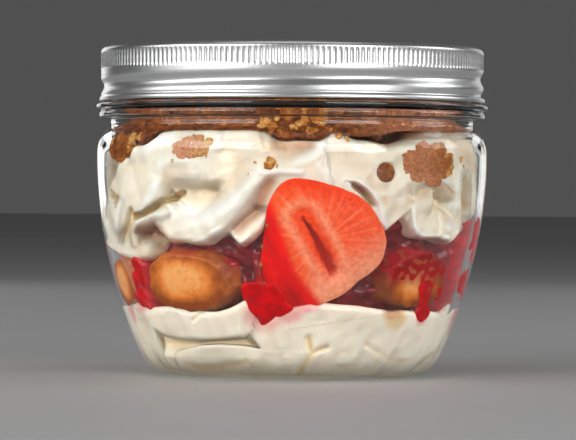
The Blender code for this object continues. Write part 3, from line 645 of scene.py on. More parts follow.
# %% [markdown]
# The depth of the cream behind the glass is worked out from the distance to every fold
# line. A soft minimum joins the folds: it adds up the exponential of each depth and takes
# the logarithm again, which rounds the crease between two folds as soft cream does. A hard
# minimum would leave a knife edge there.

# %% Depth of the folds
PRESSED_FLAT = 0.4
CREASE_SOFTNESS = 0.24
ARC = math.radians(1.0) * (BODY_RADIUS - WALL)


def line_distance(u, z, rim):
    """Distance to a line on the unrolled glass, and its side: 1 left, -1 right."""
    best = np.full(np.shape(u), np.inf)
    side = np.ones(np.shape(u))
    ends = {0, len(rim) - 2} if rim[0] != rim[-1] else set()
    for i, ((u0, z0), (u1, z1)) in enumerate(zip(rim, rim[1:])):
        du, dz = u1 - u0, z1 - z0
        along = ((u - u0) * du + (z - z0) * dz) / (du * du + dz * dz)
        t = np.clip(along, 0.0, 1.0)
        pu, pz = u - u0 - t * du, z - z0 - t * dz
        reach = np.hypot(pu, pz)
        across = (du * pz - dz * pu) / (math.hypot(du, dz) * np.maximum(reach, 1e-9))
        past = ((i == 0) & (along < 0.0)) | ((i == len(rim) - 2) & (along > 1.0))
        way = np.where(past & (i in ends), across, np.where(across < 0.0, -1.0, 1.0))
        nearer = reach < best - 1e-9
        side = np.where(nearer, way, side)
        best = np.where(nearer, reach, best)
    return best, side


def fold_depth(azimuth, z, folds, core, flatness=1.0):
    """How far the cream lies behind the glass; less flatness gives rounder folds."""
    azimuth, z = np.broadcast_arrays(np.asarray(azimuth, float), z)
    nearest = np.exp(-np.full(azimuth.shape, float(core)) / CREASE_SOFTNESS)
    for shift in (0.0, 180.0):
        u = ((azimuth + shift + 180.0) % 360.0 - 180.0) * ARC
        for rim, flat, gentle, fall, steep, lift in folds:
            s, side = line_distance(u, z, [(a * ARC, h) for a, h in rim])
            plain = flat * flatness
            up = np.clip((s - plain) / (gentle + flat - plain), 0.0, 1.0)
            down = np.clip(s / steep, 0.0, 1.0)
            slope = fall * up * up * (3.0 - 2.0 * up) + np.maximum(s - flat - gentle, 0.0)
            roll = np.where(down < 1.0, steep * (1.0 - np.sqrt(1.0 - down * down)), 50.0)
            left = 0.5 + 0.5 * side
            nearest += left * np.exp(-(lift + slope) / CREASE_SOFTNESS)
            nearest += (1.0 - left) * np.exp(-(lift + roll) / CREASE_SOFTNESS)
    return -CREASE_SOFTNESS * np.log(nearest) - PRESSED_FLAT


def dent_depth(azimuth, z, dents):
    """Extra depth of the narrow creases and dimples, in mm."""
    u = half_turn(azimuth) * ARC
    deepest = np.zeros(np.broadcast(u, z).shape)
    for line, width, depth in dents:
        away, _ = line_distance(u, z + 0.0 * u, [(a * ARC, h) for a, h in line])
        deepest = np.maximum(deepest, depth * np.clip(1.0 - away / width, 0.0, 1.0) ** 1.3)
    return deepest


def eased(distance, radius):
    """How far a rounded edge has drawn back at a distance from its end."""
    near = np.clip((radius - distance) / radius, 0.0, 1.0)
    return radius * (1.0 - np.sqrt(1.0 - near * near))


print("one degree along the glass is", round(ARC, 3), "mm")

# %% [markdown]
# A spoon leaves soft ridges and hollows that are finer than the folds, and their light and
# shade are painted. Each is a stroke on the unrolled glass with a half width and an amount:
# light strokes are a painted highlight, dusky ones are painted shade that looks warmer,
# creases are painted yellow-tan shade, and shade is a painted deep brown pocket.

# %% Ridges and hollows, with painted highlight and shade
STROKES = {
    # painted highlight along the ridges
    "light": [
        ([(-48, 51.4), (-44.2, 53.1), (-39.2, 54)], 2.2, 0.8),
        ([(-41.5, 49.1), (-42.7, 45.5), (-46, 41.9), (-50.2, 37.9)], 1.6, 0.9),
        ([(-60.7, 41), (-65, 37.8), (-67.7, 34.2)], 1.2, 0.7),
        ([(-39.3, 49.5), (-34.2, 49.3), (-29.5, 48.8)], 1.3, 0.5),
        ([(-22, 54.3), (-21.5, 52.1)], 0.9, 0.8),
        ([(-12.5, 46.6), (-8, 46.6), (-3.3, 47.1), (2.5, 46.9)], 0.9, 0.9),
        ([(-37, 38.8), (-30.2, 37), (-24, 37.5), (-18.2, 40.2), (-14, 43.3),
         (-11, 45.7)], 2.6, 0.9), ([(-55.8, 34.2), (-52, 36.3), (-47, 37.4), (-42, 37)], 0.9, 0.8),
        ([(-30.3, 31), (-26, 31.9), (-22, 34)], 0.9, 0.7),
        ([(-17.5, 31.7), (-15.8, 30.4), (-13.2, 32.2)], 1, 0.5),
        ([(2, 49.2), (6, 51), (9, 53)], 1.6, 0.9), ([(8.2, 48.1), (10.5, 45.7)], 1.2, 0.6),
        ([(9.5, 50.8), (10.3, 48.1), (11, 45.6)], 0.5, 0.9),
        ([(16, 44.7), (20.2, 44.5), (23.5, 42.8), (26.2, 39.7), (28.5, 36.2), (30, 34.2)], 1.1, 1),
        ([(39, 38.8), (39.8, 35.2), (43, 32.7), (49, 32.3), (56.2, 31.8)], 1, 1),
        ([(41.5, 45.8), (46.3, 46.3), (52.5, 44.7), (56.3, 43.1)], 0.7, 0.9),
        ([(59.7, 47.1), (58, 41.9), (57, 38.8), (56, 35.2)], 1.5, 0.8),
        ([(11.2, 53.4), (15.3, 53.4), (20, 52.5)], 1.2, 0.4),
    ],
    # painted warm shade in the hollows
    "painted_dusk_shade": [
        ([(-39.5, 45.5), (-34.5, 42.4), (-29, 41.3), (-23, 42.6), (-18, 44.6),
         (-14.5, 47)], 2.6, 0.6), ([(-39.5, 45.1), (-37.2, 47.1), (-33, 47)], 1.8, 0.35),
        ([(-18.5, 51.2), (-16.2, 49.4), (-18.5, 47)], 1.8, 0.3),
        ([(-5.5, 52.1), (-2.2, 51.6), (2, 52.5)], 2.8, 0.6),
        ([(-70, 45.1), (-67.3, 42.4), (-63.3, 41)], 1.6, 0.5),
        ([(-59.2, 31.5), (-54.7, 28.8), (-51, 28)], 1.8, 0.5),
        ([(13, 50.8), (17, 49.4), (20.8, 47.7)], 2.6, 0.35),
        ([(41, 42.4), (44.8, 44.2), (50.2, 43.7), (54.8, 42.5)], 1.8, 0.95),
        ([(23.3, 45.3), (24.7, 43.9), (28.5, 43.7)], 1.1, 0.55),
        ([(64, 43.8), (65.7, 40.1)], 1.9, 0.8), ([(59, 51.9), (64, 50.6), (68.5, 48.3)], 2.4, 0.6),
        ([(50.8, 39.7), (54.3, 37.4), (61.3, 36.9)], 1.6, 0.45),
        ([(37, 43.7), (37.3, 40.6)], 1.2, 0.5),
    ],
    # painted tan shade in the creases
    "crease": [
        ([(-49, 37.9), (-43.3, 39.5), (-38.8, 40.8), (-35.7, 41.7)], 1.1, 0.9),
        ([(-68.3, 41.7), (-64, 41)], 0.9, 0.8),
        ([(-55.8, 37.6), (-57.7, 35.1), (-62.7, 32.4)], 1.5, 0.75),
        ([(65, 39.9), (66.7, 39.4)], 1.2, 0.6), ([(28.5, 41), (29, 39.9)], 0.8, 0.45),
    ],
    # painted deep brown shade in the pockets
    "shade": [
        ([(-53.5, 33.4), (-49.5, 33.8), (-44.5, 33.4), (-43.3, 31.6)], 2, 0.85),
        ([(-6.2, 44.4), (-8.3, 41.9), (-9.8, 38.8)], 1.7, 0.9),
        ([(-9.8, 38.8), (-13, 36.6), (-16.8, 34.4)], 1.5, 0.7),
        ([(-4.5, 52.8), (0.5, 52.2), (5, 53)], 1.5, 0.6),
        ([(47.5, 31.1), (56.5, 30.8)], 1.2, 0.8),
    ],
}


def stroke_mask(azimuth, z, kind):
    """Mask of the soft strokes of one kind, strongest along their middle."""
    u = half_turn(azimuth) * ARC
    mask = np.zeros(np.broadcast(u, z).shape)
    for line, width, amount in STROKES[kind]:
        away, _ = line_distance(u, z + 0.0 * u, [(a * ARC, h) for a, h in line])
        mask = np.maximum(mask, amount * (1.0 - smooth_step(away, 0.1 * width, 1.5 * width)))
    return mask


print("strokes:", {kind: len(lines) for kind, lines in STROKES.items()})

# %% [markdown]
# The strawberry half shows a cut face on the glass. Its outline is a closed curve
# through a few points on the glass, read as a radius for each direction from the
# middle. The same outline also tells the cream and the jam where to keep back.

# %% Outlines of the pieces on the glass
BERRY_CENTRE = (9.5, 32.0)
BERRY_OUTLINE = [
    (30.5, 31.3), (27, 36.7), (22.5, 40.4), (16.5, 42.9), (11, 44.3), (5.5, 45.4),
    (0.5, 45.8), (-3.5, 44.5), (-6.5, 40.3), (-8, 35.6), (-9.5, 30.0), (-10.5, 24.5),
    (-8.5, 20.0), (-4.5, 18.1), (1, 16.9), (6, 16.9), (12.5, 18.4), (22, 23.0),
    (29.5, 27.2),
]
BERRY_STRETCH = 0.965
BERRY_PRESS = 0.2
CREAM_PRESS = 0.08
SPONGE_PRESS = 0.05
JAM_PRESS = 0.04
CHUNK_PRESS = 0.16
BERRY_ROOM = 2.4
CHUNK_ROOM = 1.8
JAM_ROOM = 6.0
CHUNKS = {
    "crumb_left": (-61.5, 51.9, 6.0, 2.2, 2.2),
    "crumb_centre": (-30.5, 51.8, 5.0, 2.2, 2.2),
    "crumb_right": (45.5, 48.9, 8.4, 4.3, 3.8),
    "crumb_ball": (28.5, 46.9, 2.5, 2.5, 2.4),
}  # azimuth, height, half width, half height and half depth


print("pieces on the glass:", 1 + len(CHUNKS))

# %% [markdown]
# The cream and the jam have to give way to what is pressed on the glass before them, or
# they would poke through it. These functions tell how near a place is to the berry or
# to a crumble piece, and how far the cream keeps back there.

# %% Keeping back
def berry_outline_radius(angle):
    """Distance in mm from the berry's middle to its outline, by angle."""
    u = np.array([(a - BERRY_CENTRE[0]) * ARC * BERRY_STRETCH for a, _ in BERRY_OUTLINE])
    v = np.array([h - BERRY_CENTRE[1] for _, h in BERRY_OUTLINE])
    around = np.degrees(np.arctan2(v, u)) % 360.0
    order = np.argsort(around)
    shifts = np.arange(-4.0, 4.1, 2.0)
    wanted = np.degrees(angle)
    total = sum(np.interp((wanted + s) % 360.0, around[order], np.hypot(u, v)[order], period=360.0)
                for s in shifts)
    return total / len(shifts)


def inside_berry(azimuth, z):
    """0 at the middle of the berry, 1 on its outline, more outside."""
    u = (half_turn(azimuth) - BERRY_CENTRE[0]) * ARC * BERRY_STRETCH
    v = z - BERRY_CENTRE[1]
    return np.hypot(u, v) / berry_outline_radius(np.arctan2(v, u))


def inside_chunks(azimuth, z):
    """Less than 1 inside a crumble piece that is pressed on the glass."""
    nearest = np.full(np.broadcast(azimuth, z).shape, 9.0)
    for centre, height, across, up, _ in CHUNKS.values():
        u = (half_turn(azimuth) - centre) * ARC
        nearest = np.minimum(nearest, np.hypot(u / across, (z - height) / up))
    return nearest


def room(azimuth, z):
    """How far the cream keeps back behind the berry and the crumble pieces, in mm."""
    berry = BERRY_ROOM * (1.0 - smooth_step(inside_berry(azimuth, z), 0.93, 1.0))
    return berry + CHUNK_ROOM * (1.0 - smooth_step(inside_chunks(azimuth, z), 0.7, 1.0))


print("berry is", round(float(2 * berry_outline_radius(0.0)), 1), "mm across")

# %% [markdown]
# Whipped cream is soft and lets light in a little way, so it needs some subsurface
# scattering. Deep creases are painted tan: painted shade that stands for light that has
# passed the cream and the sponge many times. The depth behind the glass and a pink mark
# near the jam, partly juice stain and partly painted shade, are kept on the mesh's points
# and drive the colour.

# %% Cream finish
def cream_look():
    """Cream with painted shade by depth, painted highlight and shade strokes, and a pink mark
    partly painted shade, with the relief as bump.
    """
    look, tree, shader = new_look("whipped cream", Subsurface_Weight=0.35,
                                  Subsurface_Radius=(1.0, 0.62, 0.36), Subsurface_Scale=1.6 * MM,
                                  Specular_IOR_Level=0.25, IOR=1.42)
    grain = use(tree, GRAIN, Scale=260.0, Pits=0.15)
    # The depth ramp is painted shade: the further the cream lies back from the glass, the more tan
    # and brown it is painted.
    body = ramp(tree, stored(tree, "depth"), (0.0, (0.92, 0.86, 0.74)), (0.15, (0.90, 0.82, 0.68)),
                (0.42, (0.80, 0.65, 0.45)), (1.0, (0.46, 0.24, 0.12)))
    slow = node(tree, "ShaderNodeTexNoise", {"Vector": on_object(tree), "Scale": 45.0,
                                             "Detail": 3.0})
    body = darkened(tree, body, slow.outputs["Fac"], 0.35, (0.97, 0.95, 0.91), 0.65)
    # The light strokes are a painted highlight; the dusky, crease and shade strokes are painted
    # shade.
    for mask, colour in (("light", (0.98, 0.955, 0.88, 1.0)), ("painted_dusk_shade", (0.73, 0.58, 0.41, 1.0)),
                         ("crease", (0.80, 0.60, 0.31, 1.0)), ("shade", (0.52, 0.25, 0.14, 1.0))):
        body = blend(tree, stored(tree, mask), body, colour)
    pink = blend(tree, stored(tree, "stain"), body, (0.78, 0.30, 0.30, 1.0))
    tree.links.new(pink, shader.inputs["Base Color"])
    wet_gloss(tree, shader, Scale=120.0, Low=0.32, High=0.55)
    folds = node(tree, "ShaderNodeBump", {"Height": stored(tree, "relief"), "Strength": 0.9,
                                          "Distance": 1.35 * MM})
    folds.invert = True
    bump = node(tree, "ShaderNodeBump", {"Height": grain["Height"], "Strength": 0.3,
                                         "Distance": 0.12 * MM, "Normal": folds.outputs["Normal"]})
    tree.links.new(bump.outputs["Normal"], shader.inputs["Normal"])
    return look


CREAM = cream_look()
print("cream nodes:", len(CREAM.node_tree.nodes))

# %% [markdown]
# The folded cream is a grid on the unrolled glass between its hem and its rim. The face
# keeps a fold's depth behind the glass, gives way to what is pressed on the glass before
# it, and rounds off at both edges. An underside and a top close it, because a skin with
# no inside would look like paper where the glass bends the view. A rounder copy of the
# folds goes into the relief value: it shades the places that are pressed flat.

# %% Folded cream grid
UNDER_CREAM = 34.0
CREAM_CORE = 7.0
CREAM_MIDDLE = 54.0
SHELF_RADIUS = 35.5
LIP = 2.0
CREAM_COLUMNS = 540
CREAM_ROWS = 150


def cream_relief(points, fine=1.0):
    """Small uneven waves that a spoon leaves, in mm."""
    return (0.20 * ripple(points, 11.0, 3) + 0.08 * ripple(points, 4.5, 4)
            + 0.02 * fine * ripple(points, 1.8, 5))


def cream_face(azimuth, z, low, high):
    """Radius of the folded cream's face, its depth, its creases and its rounded relief."""
    depth = fold_depth(azimuth, z, FOLDS, CREAM_CORE)
    depth = depth + cream_relief(spot(azimuth, BODY_RADIUS, z)) + room(azimuth, z)
    dents = dent_depth(azimuth, z, DENTS)
    depth = np.maximum(depth, 0.0) + dents + eased(z - low, LIP) + eased(high - z, LIP)
    rounded = fold_depth(azimuth, z, FOLDS, CREAM_CORE, 0.15)
    rounded = rounded + 2.4 * cream_relief(spot(azimuth, BODY_RADIUS, z), 0.4) + 0.7 * dents
    return inner_radius(z) + CREAM_PRESS - depth, depth, dents, np.clip(rounded, -1.0, 4.0)


def top_cream_grid():
    """The folded cream's points, with its depth, creases and relief."""
    azimuth = np.arange(CREAM_COLUMNS) * 360.0 / CREAM_COLUMNS
    low = along_glass(HEM, azimuth)[:, None]
    high = along_glass(CREAM_RIM, azimuth)[:, None]
    z = low + (high - low) * np.linspace(0.0, 1.0, CREAM_ROWS)
    front, depth, dents, rounded = cream_face(azimuth[:, None], z, low, high)
    front = np.maximum(front, SHELF_RADIUS)
    # The underside rises to the hem, and the top sinks a little towards the middle.
    under_r = np.linspace(4.0, SHELF_RADIUS - 0.5, 12) + 0.0 * low
    under_z = UNDER_CREAM + (low - UNDER_CREAM) * smooth_step(under_r, 28.0, SHELF_RADIUS)
    over_r = front[:, -1:] - 0.4 - np.linspace(0.0, 1.0, 14) * (front[:, -1:] - 5.0)
    over_z = CREAM_MIDDLE + (high - CREAM_MIDDLE) * over_r / MOUTH_RADIUS
    r = np.hstack([under_r, front, over_r])
    height = np.hstack([under_z, z, over_z])
    # The underside gets a fixed depth of 6 and the top 2, so the depth ramp paints them dark brown
    # and tan as shade.
    deep = np.hstack([0.0 * under_r + 6.0, depth, 0.0 * over_r + 2.0])
    crease = np.hstack([0.0 * under_r, dents, 0.0 * over_r])
    relief = np.hstack([0.0 * under_r, rounded, 0.0 * over_r])
    return spot(azimuth[:, None], r, height), deep, crease, relief


print("cream grid:", CREAM_COLUMNS, "by", CREAM_ROWS)

# %% [markdown]
# The values on the cream's points are masks from 0 to 1: pink where juice has run, which
# next to the berry and the jam is partly painted shade in the hollows, painted brown shade
# in the deepest pockets, and the painted highlight and shade of the spoon's strokes. They
# are worked out point by point, so they stay in place from every side, with no picture
# wrapped round.

# %% Folded cream
def patch_near(azimuth, z, places):
    """A soft mask round places (azimuth, height, width, height reach), used for juice stains,
    painted shade and a filled notch.
    """
    mask = np.zeros(np.broadcast(azimuth, z).shape)
    for centre, height, wide, tall in places:
        away = np.hypot((half_turn(azimuth) - centre) * ARC / wide, (z - height) / tall)
        mask = np.maximum(mask, 1.0 - smooth_step(away, 0.35, 1.0))
    return mask


DEPTH_SCALE = 8.0
cream_points, cream_deep, cream_crease, cream_rounded = top_cream_grid()
cream_azimuth = azimuth_of(cream_points)
cream_height = cream_points[..., 2]
# The pink mark is partly juice stain and partly painted shade in the hollows beside the berry and
# the jam.
cream_stain_and_shade = 0.6 * patch_near(cream_azimuth, cream_height, [
    (20.5, 43.0, 1.8, 1.2), (-14.5, 31.0, 1.6, 0.8), (-53, 27.0, 4.0, 1.2)])
deepest = np.maximum(cream_deep, cream_rounded)
cream_shade = 0.8 * patch_near(cream_azimuth, cream_height, [(1.0, 52.2, 7.5, 2.6)])
# The stroke masks paint highlight and shade on the cream, and also raise and sink its bump relief.
masks = {kind: stroke_mask(cream_azimuth, cream_height, kind) for kind in STROKES}
masks["shade"] = np.maximum(masks["shade"], cream_shade * smooth_step(deepest, 0.2, 1.6))
masks["crease"] = np.clip(masks["crease"] + cream_crease / 1.2, 0.0, 1.0)
swell = (0.5 * masks["painted_dusk_shade"] + 0.3 * masks["crease"] + 0.5 * masks["shade"]
         - 0.5 * masks["light"])
put("folded_cream", *skin(cream_points), CREAM, "cream", ["top_cream"],
    depth=over_skin(deepest) / DEPTH_SCALE, stain=over_skin(cream_stain_and_shade),
    relief=over_skin(cream_rounded + swell),
    **{kind: over_skin(mask) for kind, mask in masks.items()})

# %% [markdown]
# The lower cream was spooned in first and fills the bottom of the jar. It uses the same
# folds idea with shallow creases, which are painted tan as shade, with a painted brown
# pocket. Jam has run down onto it in a few places, so those places are stained pink.

# %% Lower cream
LOW_CREAM_MIDDLE = 17.5
LOW_ROWS = 110
LOW_DEPTH = 1.3
FILLED_NOTCH = (-13.0, 12.6, 4.2, 4.8)


def low_cream_grid():
    """The lower cream's points, with its depth, creases and relief."""
    azimuth = np.arange(CREAM_COLUMNS) * 360.0 / CREAM_COLUMNS
    high = along_glass(LOW_RIM, azimuth)[:, None]
    floor = FLOOR - 0.05
    z = floor + 0.02 + (high - floor - 0.02) * np.linspace(0.0, 1.0, LOW_ROWS)
    folded = fold_depth(azimuth[:, None], z, LOW_FOLDS, CREAM_CORE / 2.0)
    depth = folded + 0.8 * cream_relief(spot(azimuth[:, None], BODY_RADIUS, z) + 40.0)
    dents = dent_depth(azimuth[:, None], z, LOW_DENTS)
    # Near the floor and in one narrow notch the cream stays on the glass, so no gap shows.
    above = smooth_step(z, 5.0, 8.5)
    waves = cream_relief(spot(azimuth[:, None], BODY_RADIUS, z) + 40.0, 0.4)
    rounded = 0.75 * folded * (0.4 + 0.6 * above) + 1.4 * waves + 0.3 * dents
    shallow = LOW_DEPTH * (1.0 - np.exp(-np.maximum(depth, 0.0) / LOW_DEPTH))
    filled = patch_near(azimuth[:, None], z, [FILLED_NOTCH])
    rounded = rounded * (1.0 - 0.8 * filled)
    depth = (shallow * (1.0 - filled) + dents) * above + 0.6 * eased(high - z, LIP)
    front = inner_radius(z) + CREAM_PRESS - depth
    under_r = np.linspace(4.0, 1.0, 2)[::-1] * (inner_radius(floor + 0.1) - 1.0) / 4.0 + 0.0 * high
    over_r = front[:, -1:] - 0.4 - np.linspace(0.0, 1.0, 16) * (front[:, -1:] - 5.0)
    over_z = LOW_CREAM_MIDDLE + (high - LOW_CREAM_MIDDLE) * smooth_step(over_r, 22.0, 34.0)
    r = np.hstack([under_r, front, over_r])
    height = np.hstack([0.0 * under_r + floor, z, over_z])
    # The top gets a fixed depth of 1, which the depth ramp paints slightly tan as shade.
    deep = np.hstack([0.0 * under_r, depth, 0.0 * over_r + 1.0])
    crease = np.hstack([0.0 * under_r, dents, 0.0 * over_r])
    relief = np.hstack([0.0 * under_r, np.clip(rounded, -1.0, 3.0), 0.0 * over_r])
    return spot(azimuth[:, None], r, height), deep, crease, relief


low_points, low_deep, low_crease, low_rounded = low_cream_grid()
low_azimuth = azimuth_of(low_points)
low_stain = patch_near(low_azimuth, low_points[..., 2], [
    (-9.0, 15.6, 7.5, 5.6), (-1.5, 15.5, 6.0, 3.0), (4, 17.0, 6.0, 1.8), (84, 14.5, 9.0, 6.0),
    (-63.5, 16.5, 4.5, 2.4), (52, 14.5, 3.0, 2.6), (-72, 15.5, 3.0, 4.5)])
# A brown pocket and a tan wedge are painted shade, and the creases and deeper places are painted
# tan as shade.
low_shade = 0.7 * patch_near(low_azimuth, low_points[..., 2], [(37.5, 15.6, 4.6, 2.0)])
low_wedge_shade = 0.8 * patch_near(low_azimuth, low_points[..., 2], [(39.0, 14.4, 5.2, 3.6)])
low_tan_shade = low_crease / 1.1 + 0.45 * smooth_step(low_deep, 0.5, 1.1) * (1.0 - low_shade) + low_wedge_shade
put("spooned_cream", *skin(low_points), CREAM, "cream", ["low_cream"],
    depth=over_skin(np.maximum(low_deep, low_rounded)) / DEPTH_SCALE,
    stain=0.7 * over_skin(low_stain), relief=over_skin(low_rounded),
    crease=over_skin(np.clip(low_tan_shade, 0.0, 1.0)), shade=over_skin(low_shade))

# %% [markdown]
# The jam between the creams is painted dark where it lies back, as painted shade, and bright
# red where it runs onto the glass. Its face is uneven like cooked fruit. The depth behind
# the glass again drives the colour, and low roughness with a clear coat makes it wet.

# %% Jam finish
def jam_look():
    """Wet jam: bright red on the glass, and dark as painted shade where it lies back."""
    look, tree, shader = new_look("berry jam", Coat_Roughness=0.06, Specular_IOR_Level=0.2,
                                  Subsurface_Weight=0.15, Subsurface_Radius=(1.0, 0.15, 0.12),
                                  Subsurface_Scale=1.2 * MM, IOR=1.4)
    grain = use(tree, GRAIN, Scale=330.0, Pits=0.8)
    # The depth ramp is painted shade: the further the jam lies back, the darker it is painted.
    body = ramp(tree, stored(tree, "depth"), (0.0, (0.72, 0.001, 0.005)),
                (0.25, (0.42, 0.004, 0.010)), (0.5, (0.20, 0.006, 0.012)),
                (1.0, (0.07, 0.006, 0.010)))
    pulpy = darkened(tree, body, grain["Mask"], 0.35, (0.62, 0.55, 0.6), 0.62)
    tree.links.new(pulpy, shader.inputs["Base Color"])
    free = node(tree, "ShaderNodeMapRange", {"Value": stored(tree, "depth"), "From Min": 0.02,
                                             "From Max": 0.12, "To Max": 0.6})
    tree.links.new(free.outputs["Result"], shader.inputs["Coat Weight"])
    wet_gloss(tree, shader, Scale=160.0, Low=0.08, High=0.3)
    rough_up(tree, shader, grain["Height"], 0.5, 0.35)
    return look


BERRY_JAM = jam_look()
print("jam nodes:", len(BERRY_JAM.node_tree.nodes))

# %% [markdown]
# The jam layer is a grid like the creams. It lies back from the glass except in a few
# places, where it has been squeezed against it. Two sizes of ripple make it lumpy, and
# it gives way to the berry.

# %% Jam layer
JAM_RECESS = 4.5
JAM_TOUCHES = ((-8.0, 5.5), (-58.0, 5.5), (80.0, 17.0))
SPLASH_TOP = (22.5, 29.0)
JAM_COLUMNS = 480
JAM_ROWS = 70


def jam_recess(azimuth, z):
    """How far the jam lies behind the glass: it touches it in a few places."""
    folded = half_turn(azimuth)
    touch = np.zeros(np.broadcast(folded, z).shape)
    for centre, width in JAM_TOUCHES:
        near = 1.0 - np.clip(abs(folded - centre) / width, 0.0, 1.0) ** 2
        if centre == JAM_TOUCHES[0][0]:
            near = near * (1.0 - smooth_step(z, *SPLASH_TOP))
        touch = np.maximum(touch, near)
    return JAM_RECESS * (1.0 - touch)


def jam_grid():
    """The jam layer's points and its depth behind the glass."""
    azimuth = np.arange(JAM_COLUMNS) * 360.0 / JAM_COLUMNS
    low = along_glass(LOW_RIM, azimuth)[:, None] - 1.2
    high = np.minimum(along_glass(HEM, azimuth)[:, None] + 2.0, 42.0)
    z = low + (high - low) * np.linspace(0.0, 1.0, JAM_ROWS)
    lumps = spot(azimuth[:, None], SHELF_RADIUS, z)
    depth = jam_recess(azimuth[:, None], z)
    depth = depth + 0.55 * ripple(lumps, 7.0, 8) + 0.3 * ripple(lumps, 2.6, 9)
    depth = np.maximum(depth - 0.5, 0.0) + 1.6 * eased(z - low, 1.2) + eased(high - z, 2.0)
    depth = depth + JAM_ROOM * (1.0 - smooth_step(inside_berry(azimuth[:, None], z), 0.93, 1.0))
    r = inner_radius(z) + JAM_PRESS - depth
    under_r = np.linspace(6.0, 28.0, 5) + 0.0 * low
    over_r = np.linspace(30.0, 6.0, 5) + 0.0 * low
    heights = np.hstack([0.0 * under_r + LOW_CREAM_MIDDLE, z, 0.0 * over_r + UNDER_CREAM])
    # The hidden underside and top get a fixed depth of 5, so they are painted dark as shade.
    deep = np.hstack([0.0 * under_r + 5.0, depth, 0.0 * over_r + 5.0])
    return spot(azimuth[:, None], np.hstack([under_r, r, over_r]), heights), deep


jam_points, jam_deep = jam_grid()
put("berry_jam_layer", *skin(jam_points), BERRY_JAM, "berry_jam", ["berry_jam"],
    depth=over_skin(jam_deep) / DEPTH_SCALE)

# %% [markdown]
# The sponge fingers point at the middle of the jar with their round ends squashed on the
# glass. Each starts as an evenly divided ball, because a ball made of rings would pinch
# at its poles. Powers make it boxier, waves make it uneven, and whatever would pass the
# glass is flattened against it.

# %% Sponge shape
SPONGES = {
    "sponge_left": (-37, 23.2, 11.6, 7.6),
    "sponge_right": (46, 23.8, 9.8, 7.4),
    "sponge_side": (-72, 22.6, 6.2, 6.4),
}  # azimuth, height, half width and half height
SPONGE_RADIUS = 31.4
SPONGE_HALF_LENGTH = 12.2


def ball(detail):
    """Points and triangles of an evenly divided unit ball."""
    bm = bmesh.new()
    bmesh.ops.create_icosphere(bm, subdivisions=detail, radius=1.0)
    bm.verts.ensure_lookup_table()
    points = np.array([v.co[:] for v in bm.verts])
    faces = [[v.index for v in f.verts] for f in bm.faces]
    bm.free()
    return points, faces


def axes_at(azimuth):
    """Across, outward and up directions at an azimuth."""
    turn = math.radians(azimuth)
    return np.array([[math.cos(turn), math.sin(turn), 0.0],
                     [math.sin(turn), -math.cos(turn), 0.0], [0.0, 0.0, 1.0]])


def pressed(points, reach):
    """Points kept inside the jar, reaching a little into its wall."""
    radius = np.hypot(points[:, 0], points[:, 1])
    limit = inner_radius(points[:, 2]) + reach
    shrink = np.minimum(1.0, limit / np.maximum(radius, 1e-6))
    return points * np.stack([shrink, shrink, np.ones_like(shrink)], -1)


UNIT, UNIT_FACES = ball(6)


def sponge_points(azimuth, height, half_width, half_height, grow=0.0):
    """One sponge finger, larger by grow (an array or a number) in mm."""
    full = np.sign(UNIT) * np.abs(UNIT) ** 0.85
    local = full * [half_width, SPONGE_HALF_LENGTH, half_height]
    local[:, 2] -= 0.8 * full[:, 1] ** 2
    world = spot(azimuth, SPONGE_RADIUS, height) + local @ axes_at(azimuth)
    swell = 0.30 * ripple(world, 7.0, 21) + 0.13 * ripple(world, 2.2, 22) + grow
    world = world + (UNIT @ axes_at(azimuth)) * np.reshape(swell, (-1, 1))
    return pressed(world, SPONGE_PRESS + grow * 0.3)


print("sponge points:", len(UNIT))

# %% [markdown]
# Baked sponge is golden in the middle and browner towards its edges, with fine open
# pores. The browner edge is painted shade where the finger curves away from the glass;
# distance from the finger's own axis gives it, and the grain group gives mottling and pores.

# %% Sponge finish
def sponge_look():
    """Baked sponge, with painted shade browning its edges, and dark where sauce has soaked in."""
    look, tree, shader = new_look("sponge finger", Subsurface_Weight=0.12, IOR=1.38,
                                  Subsurface_Radius=(1.0, 0.45, 0.2), Subsurface_Scale=1.0 * MM,
                                  Coat_Weight=0.15, Coat_Roughness=0.25)
    grain = use(tree, GRAIN, Scale=110.0, Pits=0.4)
    fine = use(tree, GRAIN, Scale=600.0, Pits=0.8)
    # The baked value is painted shade towards the edges and darker towards the bottom; mottle is
    # added to it.
    baked = node(tree, "ShaderNodeMath", {0: stored(tree, "baked"), 1: grain["Mask"]},
                 operation="ADD")
    body = ramp(tree, baked.outputs[0], (0.36, (0.95, 0.47, 0.16)), (0.6, (0.82, 0.28, 0.05)),
                (0.85, (0.50, 0.14, 0.015)), (1.0, (0.30, 0.07, 0.006)))
    body = darkened(tree, body, fine["Mask"], 0.36, (0.88, 0.82, 0.76), 0.5)
    soaked = blend(tree, stored(tree, "stain"), body, (0.34, 0.02, 0.012, 1.0))
    tree.links.new(soaked, shader.inputs["Base Color"])
    wet_gloss(tree, shader, Scale=200.0, Low=0.3, High=0.65)
    both = node(tree, "ShaderNodeMath", {0: grain["Height"], 1: fine["Height"]}, operation="ADD")
    rough_up(tree, shader, both.outputs[0], 0.3, 0.3)
    return look


SPONGE = sponge_look()
print("sponge nodes:", len(SPONGE.node_tree.nodes))

# %% [markdown]
# Thin jam has run over the fingers. It is a second skin of the same shape that stands
# proud of the finger where there is sauce and hides inside it elsewhere, so its edge is
# as uneven as a real run, and no piece ends in a cut. The sponge under it is stained.

# %% Fingers and thin sauce
SAUCE_HIGH = 0.52
SAUCE_LOW = 0.35


def run_down(across, length, centre, width):
    """How far a run of sauce reaches down, in mm, round its middle."""
    return length * np.exp(-((across - centre) / width) ** 2)


